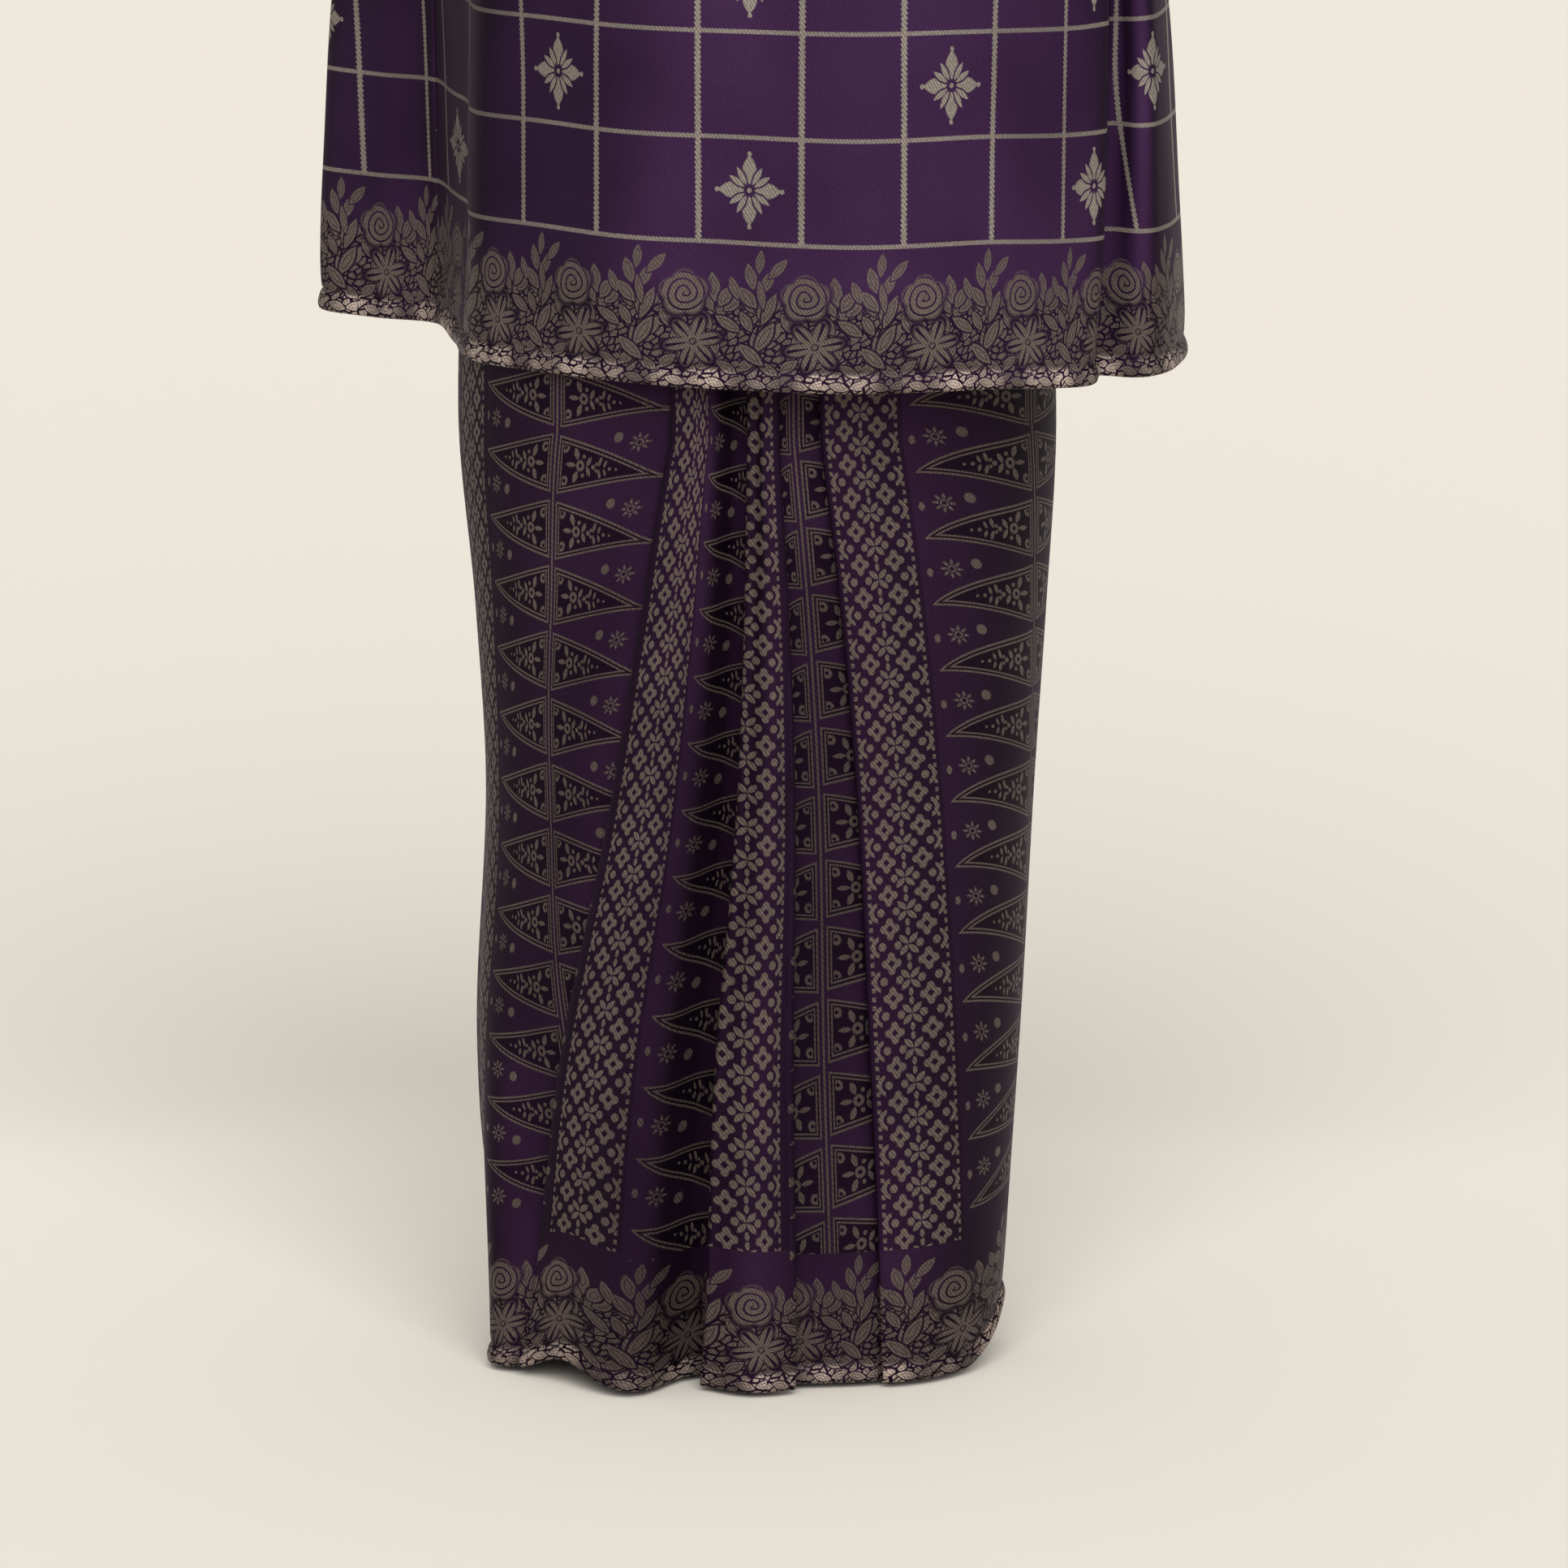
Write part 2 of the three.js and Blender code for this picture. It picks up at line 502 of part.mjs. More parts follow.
// The skirt: one tube of cloth whose section doubles back at each turn.
function skirtGrid() {
  const heights = [0, 50, 130, 230, 340, 460, 580, 690, 800, 900, WAIST];
  const middle = skirtPath(PLEAT_TOP / 2);
  const counts = middle.slice(1).map((p, i) => {
    if (p.turn && middle[i].turn && Math.abs(p.lift - middle[i].lift) < 7) return TURN_STEPS;
    const far = Math.abs(p.angle - middle[i].angle) * TURN * 150;
    return Math.max(2, Math.ceil(far / SKIRT_STEP));
  });
  return heights.map((height) => {
    const path = skirtPath(height);
    const radius = tableAt(SKIRT_SECTIONS, "halfDeep", height) * TURN;
    const row = [];
    for (let i = 0; i < path.length - 1; i++) {
      const four = [-1, 0, 1, 2].map((k) => path[Math.min(path.length - 1, Math.max(0, i + k))]);
      const knots = [0];
      for (let k = 1; k < 4; k++) {
        const across = (four[k].angle - four[k - 1].angle) * radius;
        const far = Math.hypot(across, four[k].lift - four[k - 1].lift);
        knots.push(knots[k - 1] + Math.sqrt(far));
      }
      for (let j = 0; j < counts[i]; j++) {
        const t = j / counts[i];
        const angle = eased(four.map((p) => p.angle), knots, t);
        const lift = eased(four.map((p) => p.lift), knots, t);
        const raised = height + hemRise(angle) * (1 - clamp(height / 300)) ** 1.5;
        row.push(skirtPoint(angle, lift, raised));
      }
    }
    return row;
  });
}

// The waistband: a plain folded band that stands on the skirt's upper edge.
function waistbandGrid() {
  const heights = [WAIST + SEAM, WAIST + WAISTBAND];
  return heights.map((height) =>
    steps(-180, 180, 56)
      .slice(0, -1)
      .map((angle) => skirtPoint(angle, 2, WAIST).setZ(height)),
  );
}

const garment = new THREE.Group();
garment.position.z = -NECK_HEIGHT;
garment.add(
  bodyPanel("tunic_front", true),
  bodyPanel("tunic_back", false),
  sidePanel("gore_left", "leftGore", TUNIC_HEM, GUSSET_LOW),
  sidePanel("gore_right", "rightGore", TUNIC_HEM, GUSSET_LOW),
  sidePanel("gusset_left", "leftGore", GUSSET_LOW, ARMPIT),
  sidePanel("gusset_right", "rightGore", GUSSET_LOW, ARMPIT),
  wallMesh("sleeve_left", sleeveGrid(1), { closed: true }),
  wallMesh("sleeve_right", sleeveGrid(-1), { closed: true }),
  wallMesh("skirt", skirtGrid(), { closed: true }),
  wallMesh("waistband", waistbandGrid(), { closed: true, wall: BAND_WALL, color: BAND }),
);

export default garment;
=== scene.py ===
"""A baju kurung filled out as worn: a loose brocade tunic over a front-pleated skirt cloth.

Shapes are worked out in millimetres with heights above the skirt's hem, and moved into the
frame, whose origin is in the neck opening, when a mesh is made.
"""

import math

import bpy
import numpy as np
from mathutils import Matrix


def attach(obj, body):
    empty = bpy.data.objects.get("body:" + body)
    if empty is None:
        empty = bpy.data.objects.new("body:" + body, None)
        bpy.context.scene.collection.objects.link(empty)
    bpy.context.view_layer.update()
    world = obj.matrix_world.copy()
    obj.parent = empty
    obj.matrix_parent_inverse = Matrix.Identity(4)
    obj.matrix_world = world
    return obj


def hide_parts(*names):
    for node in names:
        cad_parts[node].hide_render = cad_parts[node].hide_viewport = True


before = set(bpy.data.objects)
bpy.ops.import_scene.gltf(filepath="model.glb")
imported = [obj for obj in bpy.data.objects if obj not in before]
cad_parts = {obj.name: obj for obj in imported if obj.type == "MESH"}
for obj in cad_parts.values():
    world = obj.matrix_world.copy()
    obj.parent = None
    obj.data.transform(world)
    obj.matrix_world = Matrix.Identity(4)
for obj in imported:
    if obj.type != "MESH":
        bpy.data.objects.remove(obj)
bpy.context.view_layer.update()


def table(columns, rows):
    """Rows of values as dictionaries, by the column names that one string holds."""
    return [dict(zip(columns.split(), row)) for row in rows]


# ---------------------------------------------------------------- sizes, in millimetres

NECK_HEIGHT = 1390.0
TUNIC_HEM = 690.0
GUSSET_LOW = 1000.0
ARMPIT = 1100.0
SHOULDER_TIP = 1320.0
HALF_BODY = 225.0
ARMHOLE_MID = 1210.0
ARMHOLE_DEPTH = 75.0
GUSSET_HALF = 45.0
CHEST_FRONT = 130.0
CHEST_BACK = 112.0
UPPER_FRONT = 84.0
UPPER_BACK = 88.0
NECK_HALF = 82.0
NECK_DROP_FRONT = 92.0
NECK_DROP_BACK = 24.0
SLIT_LENGTH = 85.0
SLIT_HALF = 4.0
SHOULDER_ROUND = 110.0
FOOT_LIFT = 1.6
FOOT_SHARE = 0.12
SLEEVE_LENGTH = 535.0
SLEEVE_DROP = math.radians(33)
CUFF_HALF_HIGH = 62.0
CUFF_HALF_DEEP = 44.0
LEAN_BY = 0.3  # share of the sleeve's length by which its rings stand square to it
ROUND_BY = 0.35  # and by which the armhole's outline is an oval
OVAL_STRETCH = 1.45
WAIST = 1000.0
WAISTBAND = 32.0
BAND_LIFT = 2.0  # how far the band stands proud of the skirt's waist
CAD_WALL = 1.2
WALL = 0.8
BAND_WALL = 2.2
BAND_LENGTH = 760.0
SEAM = 0.3
REST_GAP = 0.8
PLEAT_TOP = 650.0
WAIST_PRESS = 0.5
SKIRT_STEP = 4.6  # longest step round the skirt
STEP_RADIUS = 150.0  # the radius at which that step is counted
TURN_LIFT = 7.0  # two stations of a turn that are nearer than this get TURN_STEPS steps
TURN_STEPS = 4
TURN_CLOTH = 1.4  # cloth that a turn takes, for each millimetre of its half gap
CLOTH_STEP = 4.6  # longest step round the tunic
ROW_CLOTH = 70  # about the cloth between two rows of the tunic's section
COLUMN_SLIM = 0.006  # the narrow columns beside a seam, in rows of the section
SLEEVE_COLUMNS = 96
YOKE_ROWS = 34
SEAT_SHARE = 0.8  # the seat holds the tunic's back off over this share of the skirt's half width
FAR_FORWARD = -1e6
HEM_RISE_HIGH = 300.0  # height at which the drawn-up hem has faded out
MM = 0.001

# The woven pattern's repeats, in millimetres of cloth
CHECK = 69.0
CHECK_ROW = 70.0
CHECK_FIRST = 98.0
TUNIC_BORDER = 94.0
SKIRT_BORDER = 90.0
LATTICE_REPEAT = 227.0
LATTICE_HALF = 24.0
LATTICE_ROW = 22.7
ROW_START = 14.0
SHOOT_ROW = 45.4
SHOOT_LONG = 83.0
FLORAL_REPEAT = 81.0
# Rows of each motif, counted from ROW_START, that stay bare
BARE_ROWS_FRONT = 1.42
BARE_ROWS_SIDE = 2
BARE_ROWS_LATTICE = 3.22

# The skirt's plain section at several heights: an ellipse of half width and half depth.
SKIRT_SECTIONS = table("height half_wide half_deep mid_x mid_y", [
    (0, 168, 105, -6, 1),
    (54, 171, 106, -4, 2),
    (219, 183, 112, -2.5, 4),
    (384, 185, 119, 4.5, 6),
    (516, 192, 124, 5, 8),
    (650, 200, 128, 2, 10),
    (830, 190, 135, 2, 19),
    (900, 172, 124, 2, 17),
    (1000, 138, 100, 2, 6),
])

# Stations round the skirt from the centre-back seam past the wearer's right: distance along the
# cloth, angle from the centre front and lift off the plain section, each at PLEAT_TOP and at the
# hem. At a turn, side is where the fold points and gap the distance between its two layers.
STATIONS = table("name cloth_top cloth_hem angle_top angle_hem lift_top lift_hem side gap", [
    ("back seam", -763, -763, -180, -180, 0, 0, 0, 0),
    ("right back", -650, -655, -138, -146, 0, 0, 0, 0),
    ("right side", -530, -545, -98, -112, 0, 0, 0, 0),
    ("lattice 0", -454, -454, -72, -88, 0, 0, 0, 0),
    ("panel A", -340, -410, -41, -70, 0, -6, 0, 0),
    ("panel A end", -263, -365, -19, -56, 1, -12, 0, 0),
    ("tuck 1", -259.5, -314, -10, -34, 3, -10, 1, 5),
    ("pleat 1", -255, -263, -16, -57, 8.5, -1, -1, 6),
    ("lattice 1", -227, -227, -10.8, -43, 13, 15, 0, 0),
    ("panel B", -190, -190, -7.8, -24.5, 9, 33, 0, 0),
    ("valley", -160, -143, -3, -12.5, -11, -26, 0, 0),
    ("tuck 2", -76, -85, 10, 7.5, -12, -26, 1, 5),
    ("pleat 2", 7, -28, -1.5, -10, 4, 3, -1, 9),
    ("lattice 2", 18, 2, 1.4, 1.4, 16, 22, 0, 0),
    ("brow", 28, 36, 4.2, 11, 12.5, 14, 1, -5),
    ("tuck 3", 60, 62, 0.6, 2.4, 6.5, 5, -1, -5),
    ("panel C", 102, 89, 5, 12.5, 3, 0, 0, 0),
    ("panel C end", 127, 145, 11, 30, 1, 4, 0, 0),
    ("tuck 4", 160, 172, 19.5, 41, 3.5, 4, 1, 5),
    ("pleat 4", 200, 200, 12, 32, 9, 9.5, -1, 6),
    ("lattice 3", 227, 227, 19.4, 43, 12, 14, 0, 0),
    ("lattice 3 end", 251, 251, 27, 56, 8, 10, 0, 0),
    ("panel D", 340, 340, 66, 96, 0, 0, 0, 0),
    ("left side", 420, 430, 96, 120, 0, 0, 0, 0),
    ("left back", 536, 540, 140, 150, 0, 0, 0, 0),
    ("back seam again", 649, 649, 180, 180, 0, 0, 0, 0),
])
# The cloth that goes under the first pleat only from a quarter of the way down.
LATE_STATIONS = ("panel A", "panel A end", "tuck 1")
LATE_FROM = 0.25
LATE_OVER = 0.6

# How far the woven rows are drawn up at places along the skirt cloth: none at the hem, and all of
# it from this height on.
ROW_DRAW_FULL = 320.0
ROW_DRAW = table("cloth up", [
    (-763, 0), (-560, -18), (-454, -23), (-416, -17), (-340, 0), (-264, 16),
    (-227, 22), (-113, 30), (0, 33), (113, 33), (189, 18), (264, 18),
    (340, -7), (420, -22), (536, -12), (649, 0),
])

# The tunic's section at its hem, one row for each turn of the cloth, from the seam between the
# front panel and the gore at the wearer's right, along the front and back round.
HEM_POINTS = table("name x y", [
    ("right front seam", -213, 88), ("right turn", -201, 10),
    ("right corner", -183, -56), ("right thigh", -125, -102),
    ("front right", -45, -146), ("front", 55, -170),
    ("front left", 150, -158), ("left turn", 214, -145),
    ("left front seam", 234, -114), ("left lobe", 262, -108),
    ("left tip", 279, -76), ("left flank", 285, -4),
    ("left back seam", 245, 80), ("back left", 150, 140),
    ("back", 20, 156), ("back right", -110, 162),
    ("right back seam", -215, 165), ("right flank", -268, 168),
    ("right tip", -292, 143), ("right lobe", -254, 112),
])
HEM_WEIGHT = table("height weight", [
    (690, 1), (725, 1.03), (800, 0.985), (930, 0.86),
    (1000, 0.64), (1060, 0.24), (1100, 0),
])
# Each tunic piece's share of that section, as row numbers, with the distance along its cloth at
# every row of the section, at the hem and at the chest, and what a deep fold swallows between.
SHARES = {
    "front": {
        "from": 0, "to": 8,
        "hem_cloth": (-379, -300, -257, -166, -78, 23, 128, 228, 300),
        "chest_cloth": (-300, -262, -205, -122, -34, 54, 129, 190, 240),
        "fold_cloth": (0, 0, 0, 0, 0, 0, 0, 0, -8),
    },
    "left gore": {
        "from": 8, "to": 12,
        "hem_cloth": (300, 341, 390, 462, 545),
        "chest_cloth": (240, 262, 285, 308, 330),
        "fold_cloth": (35, 42, 26, 8, 0),
    },
    "back": {
        "from": 12, "to": 16,
        "hem_cloth": (243, 131, 0, -130, -235),
        "chest_cloth": (252, 160, 0, -160, -252),
        "fold_cloth": (0, 0, 0, 0, 0),
    },
    "right gore": {
        "from": 16, "to": 20,
        "hem_cloth": (-575, -510, -455, -404, -335),
        "chest_cloth": (-380, -357, -335, -313, -290),
        "fold_cloth": (0, 0, 0, 0, 0),
    },
}

CREASE = "place lean wide depth low high"
CREASE_FADE = 0.4  # the share of a crease's length over which it fades in or out
CREASE_EARLY = 0.4  # the share of that fade which lies below low
# Soft troughs and ridges of the tunic, round its section and up it: place is a row number of the
# section at the crease's middle height and lean how far it moves for each 100 mm up; wide is its
# half width in rows; depth is positive for a trough; low and high are where it fades out.
TUNIC_CREASES = table("name " + CREASE, [
    ("left seam fold", 8.3, 0.2, 0.36, 17, 670, 1110),
    ("left seam brow", 7.6, 0.2, 0.34, -7, 700, 1080),
    ("left lobe brow", 9.1, 0.1, 0.4, -3, 740, 1080),
    ("right side hollow", 1.2, 0.1, 0.55, 9, 690, 1060),
    ("right thigh hollow", 2.5, 0.05, 0.5, 5, 690, 1000),
    ("front right swell", 3.5, -0.05, 0.45, -5, 700, 1040),
    ("middle dip", 4.4, 0.16, 0.36, 4.5, 740, 1060),
    ("middle swell", 5.2, 0.04, 0.38, -4.5, 690, 960),
    ("front left dip", 6.1, -0.05, 0.36, 5.5, 690, 930),
    ("back left hollow", 12.9, 0.05, 0.4, 7, 700, 1050),
    ("back middle swell", 13.6, -0.04, 0.35, -4, 690, 1000),
    ("back right hollow", 15.1, -0.05, 0.35, 6, 700, 1060),
    ("left flank hollow", 11.2, 0.0, 0.5, 6, 700, 1040),
    ("right flank hollow", 17.2, 0.0, 0.4, 5, 700, 1040),
])
# How much shade is painted into the cloth's colour where it lies in a hollow between folds: the columns are
# those of the creases, with shade for depth. The tunic's places are row numbers of its section, and the
# skirt's are millimetres along its cloth.
TUNIC_PAINTED_FOLD_SHADE = table(CREASE, [
    (0.4, 0.1, 0.8, 0.34, 735, 1110), (1.9, 0.05, 1.0, 0.5, 735, 1100),
    (3.6, 0.1, 0.35, 0.16, 735, 1060), (19.5, 0.0, 0.8, 0.34, 740, 1100),
    (4.7, 0.16, 0.35, 0.15, 700, 1060), (6.6, -0.05, 0.6, 0.38, 730, 1060),
    (8.2, 0.2, 0.3, 0.2, 680, 1110), (9.4, 0.1, 0.5, 0.2, 680, 1100),
    (12.9, 0.05, 0.5, 0.3, 700, 1060), (15.3, -0.05, 0.5, 0.3, 700, 1060),
])
SKIRT_PAINTED_FOLD_SHADE = table(CREASE, [
    (-188, 0, 20, 0.5, -40, 690), (-150, 0, 30, 0.16, -40, 690),
    (-96, 0, 32, 0.5, 0, 690), (47, 0, 17, 0.72, 20, 690),
    (108, 0, 44, 0.42, 20, 690), (176, 0, 18, 0.6, 20, 690),
    (-330, 22, 34, 0.3, 60, 640),
])
HEM_FLARE = 3.4  # how far the tunic's turned-up hem bulges
HEM_FLARE_HEIGHT = 14.0
SKIRT_FLARE = 3.0
SKIRT_FLARE_HEIGHT = 13.0
STITCH = {"depth": 0.9, "above": 0.5, "wide": 1.4}  # the groove of the hem's stitches
# The skirt's lifts, as bells round it: middle and wide in degrees from the centre front, lift in
# millimetres at the hem.
PLEAT_RISE = {"middle": -43, "wide": 11, "lift": 14.0}
CORNER_LIFT = {"middle": -66, "wide": 13, "lift": 24.0}
CORNER_TUCK = {"middle": -95, "wide": 16, "lift": 8.0}
CORNER_HIGH = 330.0  # the corner's lift has faded out here, and its tuck halfway
# Where the hem is drawn up at the wearer's left, and how fast it rises and falls, in degrees.
HEM_RISE = {"lift": 41.0, "from": 54, "rise": 40, "till": 110, "fall": 60}
# The flutes of the back half: number, depth at the hem, where they begin and grow to full depth,
# in degrees, and the height at which they have faded out.
FLUTES = {"count": 5, "depth": 13.0, "from": 80, "over": 35, "high": 700, "start": 0.6}
# The hanging cloth's unevenness: crossing waves, with their lengths across and up the cloth.
RIPPLES = table("size across up start", [(1.0, 41, 160, 0.7), (0.8, 63, -97, 2.1), (0.6, 29, 71, 4.0)])
SKIRT_RIPPLE = 0.42
TUNIC_RIPPLE = 0.45
SETTLE = 60  # height over which the ripple grows from an edge
SETTLE_WAIST = 90

# ---------------------------------------------------------------- small tools


def clamp(value):
    """value held between 0 and 1."""
    return np.clip(value, 0.0, 1.0)


def smooth(value):
    """t^2 (3 - 2t), with t the value held between 0 and 1."""
    t = clamp(value)
    return t * t * (3 - 2 * t)


def mix(a, b, t):
    """a + (b - a) t."""
    return a + (b - a) * t


def table_at(rows, name, place, along="height"):
    """A table's column at any place: between two rows the cubic Hermite curve whose slope at a row
    is the rise from the row before to the row after, over their distance."""
    at = np.array([row[along] for row in rows], float)
    value = np.array([row[name] for row in rows], float)
    after = np.minimum(np.arange(len(at)) + 1, len(at) - 1)
    before = np.maximum(np.arange(len(at)) - 1, 0)
    slope = (value[after] - value[before]) / (at[after] - at[before])
    place = np.asarray(place, float)
    i = np.clip(np.searchsorted(at, place), 1, len(at) - 1)
    span = at[i] - at[i - 1]
    t = clamp((place - at[i - 1]) / span)
    return (
        value[i - 1] * (2 * t**3 - 3 * t**2 + 1)
        + slope[i - 1] * span * (t**3 - 2 * t**2 + t)
        + value[i] * (3 * t**2 - 2 * t**3)
        + slope[i] * span * (t**3 - t**2)
    )


def steps(low, high, step):
    """Even places from low to high, no further apart than step."""
    count = max(1, int(math.ceil((high - low) / step)))
    return np.linspace(low, high, count + 1)


def normals_of(points, closed):
    """Unit normals of a grid: the difference across the columns times the difference up the rows."""
    if closed:
        across = np.roll(points, -1, axis=1) - np.roll(points, 1, axis=1)
    else:
        across = np.gradient(points, axis=1)
    normal = np.cross(across, np.gradient(points, axis=0))
    return normal / np.maximum(np.linalg.norm(normal, axis=2, keepdims=True), 1e-9)


def bell(place, middle, wide):
    """exp(-((place - middle) / wide)^2)."""
    return np.exp(-(((place - middle) / wide) ** 2))


def crease_depth(rows, place, height):
    """The sum over the rows of depth exp(-((place - middle) / wide)^2), where the middle moves by
    lean for each 100 mm up from the crease's middle height, faded in and out over its ends."""
    total = np.zeros(np.broadcast(place, height).shape)
    for row in rows:
        middle_height = (row["low"] + row["high"]) / 2
        reach = (row["high"] - row["low"]) * CREASE_FADE
        middle = row["place"] + row["lean"] * (height - middle_height) / 100
        rise = smooth((height - row["low"] + reach * CREASE_EARLY) / reach)
        fade = rise * smooth((row["high"] - height) / reach)
        total = total + row["depth"] * fade * bell(place, middle, row["wide"])
    return total


def ripple(u, v, size):
    """A soft unevenness of the hanging cloth: the sum of the crossing waves' size times
    sin(u / across + v / up + start)."""
    waves = [row["size"] * np.sin(u / row["across"] + v / row["up"] + row["start"]) for row in RIPPLES]
    return size * sum(waves)


def quads_of(*corners):
    """Four-sided faces from four equal arrays of their corners' numbers."""
    return np.stack(corners, axis=-1).reshape(-1, 4)


def cloth_mesh(
    name, points, cloth, materials, zone_of, closed=False, wall=WALL, edge_height=None, hollow=None
):
    """A closed wall from a grid of points on its middle surface: each point plus and minus half the
    wall times its normal. Columns run anticlockwise seen from above and rows upwards. cloth holds
    the place in the woven cloth at each point, with one more column than points where the grid is
    closed. zone_of gives a face's material number from that place. edge_height, where given, is
    the height above the hem in place of the cloth's own rows, and hollow is how much shade is
    painted on each point for the folds around it."""
    rows, columns = points.shape[:2]
    normal = normals_of(points, closed)
    outer = points + normal * wall / 2
    inner = points - normal * wall / 2
    if closed:
        outer = np.concatenate([outer, outer[:, :1]], axis=1)
        inner = np.concatenate([inner, inner[:, :1]], axis=1)
    wide = outer.shape[1]
    grid = np.arange(rows * wide).reshape(rows, wide)
    back = grid + rows * wide
    quads = [
        quads_of(grid[:-1, :-1], grid[:-1, 1:], grid[1:, 1:], grid[1:, :-1]),
        quads_of(back[:-1, :-1], back[1:, :-1], back[1:, 1:], back[:-1, 1:]),
        quads_of(back[0, :-1], back[0, 1:], grid[0, 1:], grid[0, :-1]),
        quads_of(grid[-1, :-1], grid[-1, 1:], back[-1, 1:], back[-1, :-1]),
    ]
    if not closed:
        quads.append(quads_of(back[:-1, 0], grid[:-1, 0], grid[1:, 0], back[1:, 0]))
        quads.append(quads_of(grid[:-1, -1], back[:-1, -1], back[1:, -1], grid[1:, -1]))
    faces = np.concatenate(quads)
    if edge_height is None:
        edge_height = cloth[..., 1]
    above_hem = np.stack([cloth[..., 0], edge_height], -1)
    places = np.concatenate([cloth.reshape(-1, 2)] * 2)[faces]
    edge_places = np.concatenate([above_hem.reshape(-1, 2)] * 2)[faces]
    if closed:
        joined = np.arange(wide)
        joined[-1] = 0
        merge = (np.arange(rows)[:, None] * columns + joined[None, :]).ravel()
        merge = np.concatenate([merge, merge + rows * columns])
        faces = merge[faces]
        outer = outer[:, :-1]
        inner = inner[:, :-1]
    vertices = np.concatenate([outer.reshape(-1, 3), inner.reshape(-1, 3)])
    vertices = (vertices - np.array([0, 0, NECK_HEIGHT])) * MM

    mesh = bpy.data.meshes.new(name)
    mesh.vertices.add(len(vertices))
    mesh.vertices.foreach_set("co", vertices.ravel())
    mesh.loops.add(faces.size)
    mesh.loops.foreach_set("vertex_index", faces.ravel())
    mesh.polygons.add(len(faces))
    mesh.polygons.foreach_set("loop_start", np.arange(0, faces.size, 4))
    mesh.polygons.foreach_set("use_smooth", np.ones(len(faces), bool))
    for material in materials:
        mesh.materials.append(material)
    middle = edge_places.mean(axis=1)
    mesh.polygons.foreach_set("material_index", zone_of(middle[:, 0], middle[:, 1]).astype(np.int32))
    for layer_name, values in (("Cloth", places), ("Edge", edge_places)):
        layer = mesh.uv_layers.new(name=layer_name)
        layer.uv.foreach_set("vector", (values * MM).ravel())
    # Painted shade for the folds, kept on each point for the materials to darken the colour by.
    if hollow is None:
        hollow = np.zeros((rows, columns))
    layer = mesh.attributes.new("Painted Fold Shade", "FLOAT", "POINT")
    layer.data.foreach_set("value", np.concatenate([hollow.ravel()] * 2).astype(np.float32))
    mesh.update(calc_edges=True)
    mesh.validate()
    piece = bpy.data.objects.new(name, mesh)
    bpy.context.scene.collection.objects.link(piece)
    return piece


# ---------------------------------------------------------------- the skirt


def skirt_path(height):
    """The skirt's stations at each height: arrays of angle, lift and cloth place, one row for each
    height. A turn gives three stations, the outer two half the gap apart in lift each way."""
    t = clamp((PLEAT_TOP - height) / PLEAT_TOP)
    press = mix(1.0, WAIST_PRESS, clamp((height - PLEAT_TOP) / (WAIST - PLEAT_TOP)))
    radius = table_at(SKIRT_SECTIONS, "half_deep", height)
    angles, lifts, cloths, turns = [], [], [], []
    for station in STATIONS:
        late = station["name"] in LATE_STATIONS
        angle = mix(station["angle_top"], station["angle_hem"], t)
        lift = mix(station["lift_top"], station["lift_hem"], t) * press
        share = smooth((t - LATE_FROM) / LATE_OVER) if late else t
        place = mix(station["cloth_top"], station["cloth_hem"], share)
        half = station["gap"] * press / 2
        back = np.degrees(station["side"] * np.abs(half) / radius)
        for way in (-1, 0, 1) if station["side"] else (0,):
            angles.append(angle - back * abs(way))
            lifts.append(lift + half * way)
            cloths.append(place + np.abs(half) * TURN_CLOTH * way)
            turns.append(bool(station["side"]))
    return np.stack(angles, -1), np.stack(lifts, -1), np.stack(cloths, -1), turns


def eased(values, knots, t):
    """Between the middle two of four values: the Barry-Goldman pyramid of mixes over the knots, so
    that a short step beside a long one never loops."""
    at = mix(knots[..., 1], knots[..., 2], t)

    def part(a, b, i, j):
        span = knots[..., j] - knots[..., i]
        share = np.where(span > 1e-9, (at - knots[..., i]) / np.maximum(span, 1e-9), 0.0)
        return np.where(span > 1e-9, mix(a, b, share), a)

    a1 = part(values[..., 0], values[..., 1], 0, 1)
    a2 = part(values[..., 1], values[..., 2], 1, 2)
    a3 = part(values[..., 2], values[..., 3], 2, 3)
    b1 = part(a1, a2, 0, 2)
    b2 = part(a2, a3, 1, 3)
    return part(b1, b2, 1, 2)


def skirt_columns(angle, lift, cloth, turns, height):
    """The path between its stations on every row, as angle, lift and cloth place, eased over knots
    that are spaced by the root of the stations' distance."""
    middle = np.argmin(np.abs(height - PLEAT_TOP / 2))
    counts = []
    for i in range(len(turns) - 1):
        near = abs(lift[middle, i + 1] - lift[middle, i]) < TURN_LIFT
        far = abs(angle[middle, i + 1] - angle[middle, i]) * math.radians(1) * STEP_RADIUS
        tight = turns[i] and turns[i + 1] and near
        counts.append(TURN_STEPS if tight else max(3, int(math.ceil(far / SKIRT_STEP))))
    interval = np.repeat(np.arange(len(counts)), counts)
    t = np.concatenate([np.arange(n) / n for n in counts])
    four = np.clip(interval[:, None] + np.array([-1, 0, 1, 2]), 0, len(turns) - 1)
    radius = table_at(SKIRT_SECTIONS, "half_deep", height) * math.radians(1)
    far = np.hypot(np.diff(angle[:, four]) * radius[:, None, None], np.diff(lift[:, four]))
    knots = np.concatenate([np.zeros(far.shape[:2] + (1,)), np.cumsum(np.sqrt(far), axis=2)], axis=2)
    return [eased(values[:, four], knots, t[None, :]) for values in (angle, lift, cloth)]


def flute(angle, height):
    """depth (1 - height/high)^1.3 sin(2 count angle + start), in the back half only."""
    behind = smooth((np.abs(angle) - FLUTES["from"]) / FLUTES["over"])
    down = clamp(1 - height / FLUTES["high"]) ** 1.3
    wave = np.sin(FLUTES["count"] * 2 * np.radians(angle) + FLUTES["start"])
    return FLUTES["depth"] * down * behind * wave


